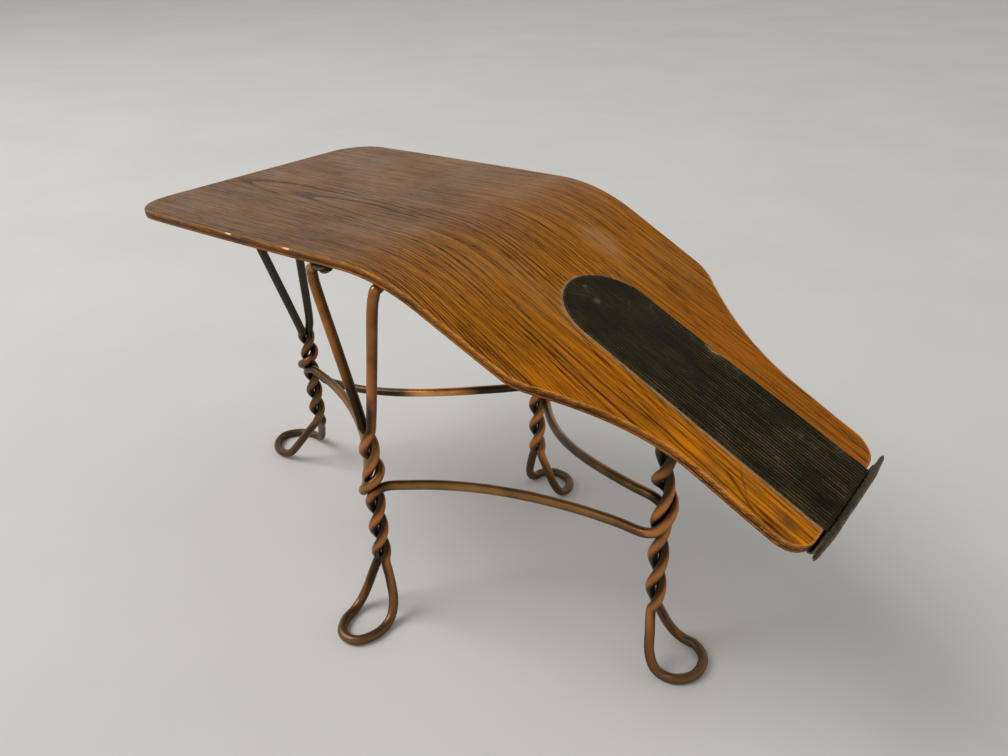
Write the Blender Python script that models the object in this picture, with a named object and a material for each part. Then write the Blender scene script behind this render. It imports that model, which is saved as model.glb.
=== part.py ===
"""Shoe fitting stool: a bent plywood seat and foot ramp on a frame of four twisted wires."""
import math

import bmesh
import bpy
from mathutils import Quaternion, Vector

# Clearances, in metres as all lengths here
CLEARANCE = 0.0003
STRAND_GAP = 0.0008

# Board, measured along its top surface; the taper and neck are at its low end, and the
# offsets are those of its middle from the frame's
BOARD_LENGTH = 0.726
SEAT_LENGTH = 0.323
SEAT_HEIGHT = 0.368
SEAT_RISE = math.radians(3.2)
BEND_RADIUS = 0.200
RAMP_SLOPE = math.radians(22.9)
SEAT_WIDTH = 0.305
SEAT_CORNER = 0.043
SHOULDER_WIDTH = 0.2675
SHOULDER_ROUND = 0.012
SHOULDER_TAPER = 0.80
SIDE_BOW = 0.0045
TAPER_LENGTH = 0.131
NECK_LENGTH = 0.085
WAIST_WIDTH = 0.1545
END_WIDTH = 0.151
END_CORNER = 0.022
END_SKEW = math.tan(math.radians(3.7))
BOARD_OFFSET = 0.0040
END_OFFSET = 0.0016
VENEER = 0.0024
CORE = 0.0024

# Rubber tread, and heel plate with its tongue under the low end of the board
TREAD_START = 0.4555
TREAD_WIDTH = 0.084
TREAD_NOSE = 0.047
TREAD_OFFSET = 0.0035
TREAD_THICKNESS = 0.0030
PLATE = 0.0016
TONGUE_LENGTH = 0.020
TONGUE_WIDTH = 0.114
WALL_GAP = 0.0020
WALL_BEND = 0.0018
FLARE_START = -0.0010
FLARE_BEND = 0.0030
LIP_ANGLE = math.radians(45.0)
LIP_HEIGHT = 0.0060
LIP_WIDTH = 0.088
WING_SPAN = 0.143
WING_TIP = 0.0030
HEEL_SCREW_SPACING = 0.056
HEEL_SCREW_INSET = 0.011
HEEL_SCREW_SHANK = 0.0014
HEEL_SCREW_HEAD = 0.0028

# Wire frame: a rhombus of four legs under the middle of the board
WIRE = 0.0095
WIRE_SIDES = 8
FRAME_CENTRE = 0.312
SIDE_LEG_INSET = 0.0312
STRETCHER_BOW = 0.026
STRETCHER_LEAD = 0.011
STRETCHER_RISE = 0.0055
GROOVE_HOLD = 0.10
GROOVE_SETTLE = 0.65
STRUT_OUTSET = 0.016
GUEST_SPREAD = 0.050
EYE_LENGTH = 0.030
EYE_WIDTH = 0.015
EYE_THICKNESS = 0.0046
EYE_SCREW_INSET = 0.008
STRUT_SCREW_SHANK = 0.0020
STRUT_SCREW_HEAD = 0.0047
STRUT_SCREW_DOME = 0.0028
SCREW_SIDES = 10
SCREW_TIP = 0.0015
EYE_RINGS = 5

# Each leg in the order in which the stretchers run: name, outward direction, distance from
# the frame's centre, pitch of the twist, height where the foot loop opens, sideways spread
# of the wire's own strut, and the foot's reach, width and turn in degrees
LEG_SIZES = (
    ("near", (0.0, -1.0), SEAT_WIDTH / 2.0 - SIDE_LEG_INSET, 0.060, 0.063, 0.031, (0.060, 0.043, 8.7)),
    ("low", (1.0, 0.0), 0.240, 0.0745, 0.056, 0.025, (0.050, 0.054, 8.2)),
    ("far", (0.0, 1.0), SEAT_WIDTH / 2.0 - SIDE_LEG_INSET, 0.057, 0.063, 0.025, (0.045, 0.049, -3.9)),
    ("high", (-1.0, 0.0), 0.2555, 0.050, 0.062, 0.017, (0.0855, 0.052, 0.0)),
)

# Foot loop from the twist to the toe, in shares of reach, half width and height
FOOT_SHAPE = (
    (0.06, 0.50, 0.66),
    (0.14, 0.78, 0.32),
    (0.28, 0.93, 0.09),
    (0.46, 0.96, 0.00),
    (0.70, 0.90, 0.00),
    (0.94, 0.50, 0.00),
)
SPLAYED_FOOT = "high"
SPLAYED_SHAPE = (
    (0.13, 0.40, 0.73),
    (0.28, 0.69, 0.40),
    (0.46, 0.96, 0.08),
    (0.71, 1.00, 0.00),
    (0.90, 0.65, 0.00),
)

TURN = 2.0 * math.pi
RINGS_PER_TURN = 10
STRETCHER_RINGS = 10
BEND_LENGTH = BEND_RADIUS * (SEAT_RISE + RAMP_SLOPE)
RAMP_START = SEAT_LENGTH + BEND_LENGTH
WAIST_AT = BOARD_LENGTH - NECK_LENGTH
SHOULDER_AT = WAIST_AT - TAPER_LENGTH
HEEL_SCREW_AT = BOARD_LENGTH - HEEL_SCREW_INSET
BOARD_THICKNESS = 2.0 * VENEER + CORE + 2.0 * CLEARANCE
STRAND_RADIUS = (WIRE + STRAND_GAP) / 2.0
FLAT_RADIUS = WIRE / 2.0 * math.cos(math.pi / WIRE_SIDES)

OAK = (0.36, 0.15, 0.035)
OAK_EDGE = (0.22, 0.085, 0.025)
RUBBER = (0.035, 0.033, 0.025)
IRON = (0.075, 0.065, 0.05)
COPPER = (0.23, 0.115, 0.055)
BRASS = (0.25, 0.17, 0.07)


def clear_scene():
    for item in list(bpy.data.objects):
        bpy.data.objects.remove(item, do_unlink=True)


def mix(start, end, share):
    return start + (end - start) * share


def smooth(share):
    share = min(max(share, 0.0), 1.0)
    return share * share * (3.0 - 2.0 * share)


def spread(start, end, count):
    return [mix(start, end, step / count) for step in range(count + 1)]


# Board surface


def slope_at(along):
    """Downward slope of the top surface, in radians."""
    share = min(max((along - SEAT_LENGTH) / BEND_LENGTH, 0.0), 1.0)
    return mix(-SEAT_RISE, RAMP_SLOPE, share)


def board_point(along, across, above=0.0):
    """Point at a distance along and across the top surface, and above it along its normal."""
    slope = slope_at(along)
    flat = min(along, SEAT_LENGTH)
    ramp = max(along - RAMP_START, 0.0)
    x = flat * math.cos(SEAT_RISE) + ramp * math.cos(RAMP_SLOPE)
    z = SEAT_HEIGHT + flat * math.sin(SEAT_RISE) - ramp * math.sin(RAMP_SLOPE)
    x += BEND_RADIUS * (math.sin(slope) + math.sin(SEAT_RISE))
    z += BEND_RADIUS * (math.cos(slope) - math.cos(SEAT_RISE))
    return Vector((x + above * math.sin(slope), across, z + above * math.cos(slope)))


def board_normal(along):
    slope = slope_at(along)
    return Vector((math.sin(slope), 0.0, math.cos(slope)))


def low_end_point(along, across, above):
    """Point as above, where the low end of the board is cut slightly out of square."""
    skew = END_SKEW * smooth((along - WAIST_AT) / (NECK_LENGTH - END_CORNER))
    return board_point(along - skew * across, across, above)


def along_at(x, above):
    """Distance along the board whose point at this height above the surface has this x."""
    low, high = -BOARD_LENGTH, 2.0 * BOARD_LENGTH
    for _ in range(60):
        middle = (low + high) / 2.0
        if board_point(middle, 0.0, above).x < x:
            low = middle
        else:
            high = middle
    return low


def corner_inset(from_end, radius):
    if from_end >= radius:
        return 0.0
    return radius - math.sqrt(radius ** 2 - (radius - max(from_end, 0.0)) ** 2)


def side_width(along):
    """Width of the board without its corners: bowed seat sides, a hollow taper, a narrow end."""
    end_slope = (END_WIDTH - WAIST_WIDTH) / (BOARD_LENGTH - WAIST_AT)
    if along <= SHOULDER_AT:
        share = along / SHOULDER_AT
        width = mix(SEAT_WIDTH, SHOULDER_WIDTH, share) + 8.0 * SIDE_BOW * share * (1.0 - share)
    elif along <= WAIST_AT:
        run = WAIST_AT - SHOULDER_AT
        t = (along - SHOULDER_AT) / run
        width = mix(SHOULDER_WIDTH, WAIST_WIDTH, smooth(t))
        width -= 2.0 * SHOULDER_TAPER * run * t * (1.0 - t) ** 2
        width -= end_slope * run * t * t * (1.0 - t)
    else:
        width = WAIST_WIDTH + end_slope * (along - WAIST_AT)
    return width


def half_width(along):
    """Half of the board's width, with its shoulders and corners rounded."""
    width = side_width(along)
    share = (along - SHOULDER_AT + SHOULDER_ROUND) / (2.0 * SHOULDER_ROUND)
    if 0.0 < share < 1.0:
        corner = side_width(SHOULDER_AT)
        before = mix(side_width(SHOULDER_AT - SHOULDER_ROUND), corner, share)
        after = mix(corner, side_width(SHOULDER_AT + SHOULDER_ROUND), share)
        width = mix(before, after, share)
    inset = corner_inset(along, SEAT_CORNER) + corner_inset(BOARD_LENGTH - along, END_CORNER)
    return width / 2.0 - inset


def middle_line(along):
    """Distance of the board's middle from the frame's, towards the far side."""
    share = (along - WAIST_AT + 0.5 * NECK_LENGTH) / (1.2 * NECK_LENGTH)
    return mix(BOARD_OFFSET, END_OFFSET, smooth(share))


def board_stations():
    """Distances along the board where its plies have a section, closer where it curves."""
    quarter = spread(0.0, math.pi / 2.0, 7)
    stations = [SEAT_CORNER * (1.0 - math.cos(angle)) for angle in quarter]
    stations += spread(SEAT_CORNER, SEAT_LENGTH, 4)
    stations += spread(SEAT_LENGTH, RAMP_START, 8)
    stations += spread(SHOULDER_AT - SHOULDER_ROUND, SHOULDER_AT + SHOULDER_ROUND, 6)
    stations += spread(SHOULDER_AT + SHOULDER_ROUND, WAIST_AT, 8)
    stations += [BOARD_LENGTH - END_CORNER * (1.0 - math.cos(angle)) for angle in quarter]
    ordered = sorted(stations)
    kept = ordered[:1]
    for station in ordered[1:]:
        if station - kept[-1] > CLEARANCE:
            kept.append(station)
    return kept


# Meshes


def new_object(name, points, faces, colour, metallic, roughness):
    mesh = bpy.data.meshes.new(name)
    mesh.from_pydata([tuple(point) for point in points], [], faces)
    shell = bmesh.new()
    shell.from_mesh(mesh)
    bmesh.ops.recalc_face_normals(shell, faces=shell.faces)
    shell.to_mesh(mesh)
    shell.free()
    mesh.shade_smooth()
    mesh.set_sharp_from_angle(angle=math.radians(50.0))
    material = bpy.data.materials.new(name)
    material.use_nodes = True
    shader = material.node_tree.nodes["Principled BSDF"]
    shader.inputs["Base Color"].default_value = (*colour, 1.0)
    shader.inputs["Metallic"].default_value = metallic
    shader.inputs["Roughness"].default_value = roughness
    mesh.materials.append(material)
    item = bpy.data.objects.new(name, mesh)
    bpy.context.scene.collection.objects.link(item)
    return item


def loft(rings):
    """Points and faces of a closed skin over rings with the same number of points."""
    count = len(rings[0])
    points = [point for ring in rings for point in ring]
    faces = []
    for row in range(len(rings) - 1):
        for column in range(count):
            after = (column + 1) % count
            start = row * count
            faces.append((start + column, start + after, start + count + after, start + count + column))
    faces.append(tuple(reversed(range(count))))
    faces.append(tuple(range(len(points) - count, len(points))))
    return points, faces


def turned(foot, axis, profile, sides):
    """Closed body turned round an axis, from (distance along the axis, radius) pairs."""
    side = axis.orthogonal().normalized()
    across = axis.cross(side)
    rings = []
    for distance, radius in profile:
        centre = foot + axis * distance
        ring = []
        for step in range(sides):
            angle = TURN * step / sides
            ring.append(centre + (side * math.cos(angle) + across * math.sin(angle)) * radius)
        rings.append(ring)
    return loft(rings)


def cutter(name, bodies):
    """Hidden body that cuts screw holes, joined from separate turned bodies."""
    points, faces = [], []
    for body_points, body_faces in bodies:
        shift = len(points)
        points += body_points
        faces += [tuple(index + shift for index in face) for face in body_faces]
    item = new_object(name, points, faces, IRON, 0.0, 1.0)
    item.hide_render = True
    item.display_type = "WIRE"
    return item


def cut(item, tool):
    modifier = item.modifiers.new(tool.name, "BOOLEAN")
    modifier.operation = "DIFFERENCE"
    modifier.solver = "EXACT"
    modifier.object = tool


# Board, tread and heel plate


def ply(name, depth, thickness, colour):
    """One ply of the board, its upper face at a depth below the board's top surface."""
    rings = []
    for along in board_stations():
        near = middle_line(along) - half_width(along)
        far = middle_line(along) + half_width(along)
        top, bottom = -depth, -depth - thickness
        rings.append([
            low_end_point(along, near, top),
            low_end_point(along, far, top),
            low_end_point(along, far, bottom),
            low_end_point(along, near, bottom),
        ])
    return new_object(name, *loft(rings), colour, 0.0, 0.35)


def tread_half_width(along):
    into = min(max(along - TREAD_START, 0.0) / TREAD_NOSE, 1.0)
    return TREAD_WIDTH / 2.0 * math.sqrt(1.0 - (1.0 - into) ** 2)


def rubber_tread():
    """Mat with a round upper end, lying on the straight ramp as far as the board's end."""
    nose = [math.radians(angle) for angle in spread(12.0, 90.0, 8)]
    stations = [TREAD_START + TREAD_NOSE * (1.0 - math.cos(angle)) for angle in nose]
    stations.append(BOARD_LENGTH)
    rings = []
    for along in stations:
        half = tread_half_width(along)
        near, far = TREAD_OFFSET - half, TREAD_OFFSET + half
        rings.append([
            low_end_point(along, near, TREAD_THICKNESS),
            low_end_point(along, far, TREAD_THICKNESS),
            low_end_point(along, far, CLEARANCE),
            low_end_point(along, near, CLEARANCE),
        ])
    return new_object("rubber_tread", *loft(rings), RUBBER, 0.0, 0.85)


def lip_top(across):
    """Height of the flared lip, full in the middle and falling to the tips of its wings."""
    share = (abs(across) - LIP_WIDTH / 2.0) / ((WING_SPAN - LIP_WIDTH) / 2.0)
    return mix(LIP_HEIGHT, WING_TIP, min(max(share, 0.0), 1.0))


def heel_profile():
    """Inner face of the heel plate up to its lip: distances along the board and above its top."""
    under = -BOARD_THICKNESS - CLEARANCE
    bend_at = BOARD_LENGTH + WALL_GAP - WALL_BEND
    flare_at = BOARD_LENGTH + WALL_GAP + FLARE_BEND
    profile = [(BOARD_LENGTH - TONGUE_LENGTH, under)]
    for angle in spread(0.0, math.pi / 2.0, 3):
        profile.append((bend_at + WALL_BEND * math.sin(angle), under + WALL_BEND * (1.0 - math.cos(angle))))
    for angle in spread(0.0, math.pi / 2.0 - LIP_ANGLE, 2):
        profile.append((flare_at - FLARE_BEND * math.cos(angle), FLARE_START + FLARE_BEND * math.sin(angle)))
    return profile


def heel_plate():
    """Sheet with a tongue under the board's end, a wall up past it, and a flared lip with wings."""
    half_tongue, half_lip, half_span = TONGUE_WIDTH / 2.0, LIP_WIDTH / 2.0, WING_SPAN / 2.0
    middle = [-half_tongue, -half_lip, 0.0, half_lip, half_tongue]
    wing = [mix(half_tongue, half_span, 0.8), half_span]
    columns = [-across for across in reversed(wing)] + middle + wing
    *rows, (lip_foot, lip_base) = heel_profile()
    shell = bmesh.new()
    grid = []
    for along, above in rows:
        grid.append({across: shell.verts.new(low_end_point(along, across, above)) for across in middle})
    for share in (0.0, 0.5, 1.0):
        row = {}
        for across in columns:
            up = lip_top(across) * share
            if abs(across) == half_span:
                up = mix(WING_TIP * 0.25, lip_top(across), share)
            along = lip_foot + up * math.cos(LIP_ANGLE)
            above = lip_base + up * math.sin(LIP_ANGLE)
            row[across] = shell.verts.new(low_end_point(along, across, above))
        grid.append(row)
    for lower, upper in zip(grid, grid[1:]):
        shared = sorted(set(lower) & set(upper))
        for left, right in zip(shared, shared[1:]):
            shell.faces.new((lower[left], upper[left], upper[right], lower[right]))
    shell.verts.index_update()
    points = [vertex.co.copy() for vertex in shell.verts]
    faces = [tuple(vertex.index for vertex in reversed(face.verts)) for face in shell.faces]
    shell.free()
    return thick_sheet("heel_plate", points, faces, PLATE)


def thick_sheet(name, points, faces, thickness):
    """Closed sheet below an open surface whose faces are wound to look up."""
    mesh = bpy.data.meshes.new(name)
    mesh.from_pydata(points, [], faces)
    normals = [vertex.normal.copy() for vertex in mesh.vertices]
    if normals[0].z < 0.0:
        normals = [-normal for normal in normals]
    bpy.data.meshes.remove(mesh)
    shift = len(points)
    below = [point - normal * thickness for point, normal in zip(points, normals)]
    edges = {}
    for face in faces:
        for start, end in zip(face, face[1:] + face[:1]):
            edges[(start, end)] = edges.get((start, end), 0) + 1
    skin = list(faces) + [tuple(index + shift for index in reversed(face)) for face in faces]
    for start, end in edges:
        if (end, start) not in edges:
            skin.append((end, start, start + shift, end + shift))
    return new_object(name, points + below, skin, IRON, 0.8, 0.5)


def heel_screw_profile(grow):
    """Countersunk screw from its tip down to its flush head, made larger all round by a clearance."""
    head = BOARD_THICKNESS + CLEARANCE + PLATE
    cone = HEEL_SCREW_HEAD - HEEL_SCREW_SHANK
    tip = VENEER + CLEARANCE
    return (
        (tip - grow / 2.0, HEEL_SCREW_SHANK * 0.3 + grow),
        (tip + SCREW_TIP, HEEL_SCREW_SHANK + grow),
        (head - cone - grow, HEEL_SCREW_SHANK + grow),
        (head, HEEL_SCREW_HEAD + grow),
        (head + 2.0 * grow, HEEL_SCREW_HEAD + 2.0 * grow),
    )


def heel_screws(plies, plate):
    holes = []
    for side, across in (("near", -HEEL_SCREW_SPACING / 2.0), ("far", HEEL_SCREW_SPACING / 2.0)):
        foot = low_end_point(HEEL_SCREW_AT, across, 0.0)
        axis = -board_normal(HEEL_SCREW_AT)
        body = turned(foot, axis, heel_screw_profile(0.0)[:4], SCREW_SIDES)
        new_object("heel_screw_" + side, *body, IRON, 0.9, 0.4)
        holes.append(turned(foot, axis, heel_screw_profile(CLEARANCE), SCREW_SIDES))
    tool = cutter("heel_screw_holes", holes)
    for item in (*plies, plate):
        cut(item, tool)


# Wire frame


class Leg:
    """One leg: where it stands, and how its three strands wind round it."""

    def __init__(self, name, out, distance, pitch, crotch, own_spread, foot_size):
        self.name = name
        self.out = Vector((*out, 0.0))
        self.round = Vector((-out[1], out[0], 0.0))
        self.pitch = pitch
        self.crotch = crotch
        self.own_spread = own_spread
        self.reach, self.foot_width, toe_out = foot_size
        self.foot_turn = Quaternion((0.0, 0.0, 1.0), math.radians(toe_out))
        self.foot = Vector((FRAME_CENTRE, 0.0, 0.0)) + self.out * distance
        self.foot_shape = SPLAYED_SHAPE if name == SPLAYED_FOOT else FOOT_SHAPE

    def wind(self, leave_heading, arrive_heading):
        """Set the twist so that the strands leave, arrive and part in the right directions."""
        quarter = math.pi / 2.0
        bearing = math.atan2(self.out.y, self.out.x)
        self.leave_angle = leave_heading - quarter
        self.arrive_angle = arrive_heading - quarter
        lower = ((self.leave_angle - (bearing - quarter)) % TURN) / TURN + 1.0
        upper = ((bearing + quarter - self.leave_angle) % TURN) / TURN + 1.0
        self.leave = self.crotch + self.pitch * lower
        self.fork = self.leave + self.pitch * upper
        behind = (self.leave_angle - self.arrive_angle) % TURN - quarter
        self.arrive = self.leave - self.pitch * behind / TURN
        self.groove = self.groove_radius()

    def groove_radius(self):
        """Distance from the leg's middle of a strand that lies clear in the groove of two others."""
        low, high = STRAND_RADIUS, 4.0 * STRAND_RADIUS
        rises = spread(-self.pitch / 2.0, self.pitch / 2.0, 60)
        for _ in range(30):
            radius = (low + high) / 2.0
            lying = self.strand(self.leave, -math.pi / 2.0, radius)
            least = min((self.strand(self.leave + rise, 0.0) - lying).length for rise in rises)
            if least < WIRE + STRAND_GAP:
                low = radius
            else:
                high = radius
        return high

    def at(self, outward, sideways, height):
        return self.foot + self.out * outward + self.round * sideways + Vector((0.0, 0.0, height))

    def strand(self, height, turn, radius=STRAND_RADIUS):
        """Point of a strand turned round from the strand that leaves along the stretcher."""
        angle = self.leave_angle + TURN * (height - self.leave) / self.pitch + turn
        return self.foot + Vector((radius * math.cos(angle), radius * math.sin(angle), height))

    def twist(self, start, end, turn):
        """Strand between two heights, leaving out its first point."""
        steps = max(2, round(abs(end - start) / self.pitch * RINGS_PER_TURN))
        return [self.strand(height, turn) for height in spread(start, end, steps)[1:]]

    def guest(self):
        """Strand that arrives, climbs in the groove of the other two and takes the leaver's place."""
        steps = round((self.fork - self.arrive) / self.pitch * RINGS_PER_TURN)
        points = []
        for height in spread(self.arrive, self.fork, steps):
            climbed = (height - self.leave) / self.pitch
            settled = smooth((climbed - GROOVE_HOLD) / GROOVE_SETTLE)
            radius = mix(self.groove, STRAND_RADIUS, settled)
            points.append(self.strand(height, mix(-math.pi / 2.0, 0.0, settled), radius))
        return points

    def loop(self):
        """Foot loop from the wire's own strand, out over the toe and back to the leaving strand."""
        drop = self.crotch - FLAT_RADIUS
        half = self.foot_width / 2.0
        down = [
            (outward * self.reach, sideways * half, FLAT_RADIUS + height * drop)
            for outward, sideways, height in self.foot_shape
        ]
        up = [(outward, -sideways, height) for outward, sideways, height in reversed(down)]
        toe = (self.reach, 0.0, FLAT_RADIUS)
        points = [self.at(*point) for point in (*down, toe, *up)]
        return [self.foot + self.foot_turn @ (point - self.foot) for point in points]


def heading(vector):
    return math.atan2(vector.y, vector.x)


def make_legs():
    legs = [Leg(*sizes) for sizes in LEG_SIZES]
    for index, leg in enumerate(legs):
        before = leg.foot - legs[index - 1].foot
        after = legs[(index + 1) % len(legs)].foot - leg.foot
        bow = 2.0 * math.atan(2.0 * STRETCHER_BOW / after.length)
        leg.wind(heading(after) + bow, heading(before) - bow)
    return legs


def strut(leg, side, sideways, eye_heading):
    """Points of a strut from the fork of a leg to the flat eye under the board."""
    depth = BOARD_THICKNESS + CLEARANCE + FLAT_RADIUS
    eye_depth = BOARD_THICKNESS + CLEARANCE + EYE_THICKNESS / 2.0
    top = leg.at(STRUT_OUTSET, side * sideways, 0.0)
    knee_along = along_at(top.x, -depth)

    def under(distance, below):
        along = knee_along + eye_heading.x * distance
        return board_point(along, top.y + eye_heading.y * distance, -below)

    knee = under(0.0, depth)
    fork = leg.at(0.0, side * STRAND_RADIUS, leg.fork)
    start = leg.at(0.0, side * (STRAND_RADIUS + 0.25 * WIRE), leg.fork + WIRE)
    direction = (knee - start).normalized()
    before = knee - direction * 1.6 * WIRE
    after = under(EYE_LENGTH * 0.29, depth)
    middle = before * 0.25 + knee * 0.5 + after * 0.25
    flat_start = EYE_LENGTH * 0.47
    points = [fork, start, start.lerp(before, 0.5), before, before.lerp(middle, 0.5), middle]
    points += [middle.lerp(after, 0.5), after]
    points += [under(mix(flat_start, EYE_LENGTH, share), eye_depth) for share in (0.0, 0.35, 0.7, 0.9, 1.0)]
    eye_along = knee_along + eye_heading.x * (EYE_LENGTH - EYE_SCREW_INSET)
    eye_across = top.y + eye_heading.y * (EYE_LENGTH - EYE_SCREW_INSET)
    return points, eye_along, eye_across


def stretcher(leg, following):
    """Bowed wire from one leg's leaving strand to where it climbs the next leg."""
    start_angle, end_angle = leg.leave_angle, following.arrive_angle
    start = leg.strand(leg.leave, 0.0)
    end = following.strand(following.arrive, -math.pi / 2.0, following.groove)
    out_way = Vector((-math.sin(start_angle), math.cos(start_angle), 0.0))
    in_way = Vector((-math.sin(end_angle), math.cos(end_angle), 0.0))
    first = start + out_way * STRETCHER_LEAD + Vector((0.0, 0.0, STRETCHER_RISE))
    last = end - in_way * STRETCHER_LEAD - Vector((0.0, 0.0, STRETCHER_RISE))
    span = Vector((last.x - first.x, last.y - first.y)).length
    points = []
    for share in spread(0.0, 1.0, STRETCHER_RINGS):
        ease_out = share * (1.0 - share) ** 2
        ease_in = share * share * (1.0 - share)
        point = first.lerp(last, smooth(share)) + out_way * span * ease_out - in_way * span * ease_in
        point.z = mix(first.z, last.z, smooth(share))
        points.append(point)
    return points


def transport(points):
    """Tangents along a route, and normals carried along it without turning round it."""
    count = len(points)
    tangents = []
    for index in range(count):
        tangents.append((points[min(index + 1, count - 1)] - points[max(index - 1, 0)]).normalized())
    normals = [tangents[0].orthogonal().normalized()]
    for before, after in zip(tangents, tangents[1:]):
        normals.append(before.rotation_difference(after) @ normals[-1])
    return tangents, normals


def facing_turns(tangents, normals, wanted):
    """Turn of each ring that brings a flat side to face each wanted direction in time."""
    facet = TURN / WIRE_SIDES
    marks = []
    for index, direction in wanted:
        across = tangents[index].cross(normals[index])
        angle = math.atan2(direction.dot(across), direction.dot(normals[index]))
        last = marks[-1][1] if marks else 0.0
        marks.append((index, last + (angle - last + facet / 2.0) % facet - facet / 2.0))
    turns = []
    for index in range(len(normals)):
        for (start, low), (end, high) in zip(marks, marks[1:]):
            if start <= index <= end:
                turns.append(mix(low, high, (index - start) / (end - start)))
                break
    return turns


def eye_size(index, count):
    """Thickness and width of a ring, as shares of the wire: flat and broad near either end."""
    from_end = min(index, count - 1 - index)
    if from_end >= EYE_RINGS:
        return 1.0, 1.0
    tip = 1.0 - 0.45 * max(1.0 - from_end / 2.0, 0.0) ** 2
    return EYE_THICKNESS / (2.0 * FLAT_RADIUS), EYE_WIDTH / WIRE * tip


def wire(name, points, wanted, end_normals):
    """Round wire along a route, flattened under the board at both ends."""
    tangents, normals = transport(points)
    turns = facing_turns(tangents, normals, wanted)
    count = len(points)
    rings = []
    for index, point in enumerate(points):
        high, wide = eye_size(index, count)
        up = end_normals[0] if index < count / 2.0 else end_normals[1]
        ring = []
        for step in range(WIRE_SIDES):
            angle = turns[index] + TURN * (step + 0.5) / WIRE_SIDES
            spoke = Quaternion(tangents[index], angle) @ normals[index] * (WIRE / 2.0)
            rise = up * spoke.dot(up)
            ring.append(point + (spoke - rise) * wide + rise * high)
        rings.append(ring)
    return new_object(name, *loft(rings), COPPER, 0.9, 0.4)


def strut_screw(name, along, across):
    """Round-headed screw through a strut's eye, and the hole that it needs."""
    foot = board_point(along, across)
    axis = -board_normal(along)
    tip = VENEER + CLEARANCE
    seat = BOARD_THICKNESS + 2.0 * CLEARANCE + EYE_THICKNESS
    profile = (
        (tip, STRUT_SCREW_SHANK * 0.4),
        (tip + SCREW_TIP, STRUT_SCREW_SHANK),
        (seat, STRUT_SCREW_SHANK),
        (seat, STRUT_SCREW_HEAD),
        (seat + STRUT_SCREW_DOME * 0.45, STRUT_SCREW_HEAD * 0.93),
        (seat + STRUT_SCREW_DOME * 0.85, STRUT_SCREW_HEAD * 0.6),
        (seat + STRUT_SCREW_DOME, STRUT_SCREW_HEAD * 0.2),
    )
    new_object(name, *turned(foot, axis, profile, SCREW_SIDES), BRASS, 0.9, 0.45)
    hole = STRUT_SCREW_SHANK + CLEARANCE
    return turned(foot, axis, ((tip - CLEARANCE / 2.0, hole), (seat + CLEARANCE, hole)), SCREW_SIDES)


def wire_route(leg, following):
    """Middle line of a wire: strut, twist, foot, twist, stretcher, the next leg's twist, strut."""
    own, *own_eye = strut(leg, -1.0, leg.own_spread, leg.round)
    guest, *guest_eye = strut(following, 1.0, GUEST_SPREAD, -following.out)
    route = list(reversed(own)) + leg.twist(leg.fork, leg.crotch, math.pi)
    toe = len(route) + len(leg.foot_shape)
    route += leg.loop() + [leg.strand(leg.crotch, 0.0)]
    route += leg.twist(leg.crotch, leg.leave, 0.0) + stretcher(leg, following)
    route += following.guest()[:-1] + guest
    return route, toe, own_eye, guest_eye


def wire_frame(plies):
    """Four wires, each with an eye screwed under the board at both of its ends."""
    legs = make_legs()
    wires, holes = [], []
    for index, leg in enumerate(legs):
        following = legs[(index + 1) % len(legs)]
        route, toe, own_eye, guest_eye = wire_route(leg, following)
        ends = (board_normal(own_eye[0]), board_normal(guest_eye[0]))
        last = len(route) - 1
        wanted = [(0, ends[0]), (EYE_RINGS, ends[0]), (toe, Vector((0.0, 0.0, 1.0)))]
        wanted += [(last - EYE_RINGS, ends[1]), (last, ends[1])]
        wires.append(wire(leg.name + "_leg_wire", route, wanted, ends))
        holes.append(strut_screw(leg.name + "_own_screw", *own_eye))
        holes.append(strut_screw(following.name + "_guest_screw", *guest_eye))
    tool = cutter("strut_screw_holes", holes)
    for item in (*plies, *wires):
        cut(item, tool)


def stand_on_origin():
    """Carry every piece on one empty, with the middle of the object's foot at the origin."""
    pieces = list(bpy.context.scene.collection.objects)
    solid = [vertex.co for item in pieces if not item.hide_render for vertex in item.data.vertices]
    low = Vector([min(point[axis] for point in solid) for axis in range(3)])
    high = Vector([max(point[axis] for point in solid) for axis in range(3)])
    carrier = bpy.data.objects.new("stool", None)
    bpy.context.scene.collection.objects.link(carrier)
    for item in pieces:
        item.parent = carrier
    carrier.location = (-(low.x + high.x) / 2.0, -(low.y + high.y) / 2.0, -low.z)


def main():
    clear_scene()
    ply("top_veneer", 0.0, VENEER, OAK)
    core = ply("core_ply", VENEER + CLEARANCE, CORE, OAK_EDGE)
    under = ply("under_veneer", VENEER + CORE + 2.0 * CLEARANCE, VENEER, OAK)
    rubber_tread()
    plate = heel_plate()
    heel_screws((core, under), plate)
    wire_frame((core, under))
    stand_on_origin()


main()
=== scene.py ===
"""Looks of a shoe fitting stool: oak board, ribbed tread, heel plate and a copper-plated wire frame."""
import math

import bmesh
import bpy
from mathutils import Matrix, Quaternion, Vector
from mathutils.geometry import interpolate_bezier


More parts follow.
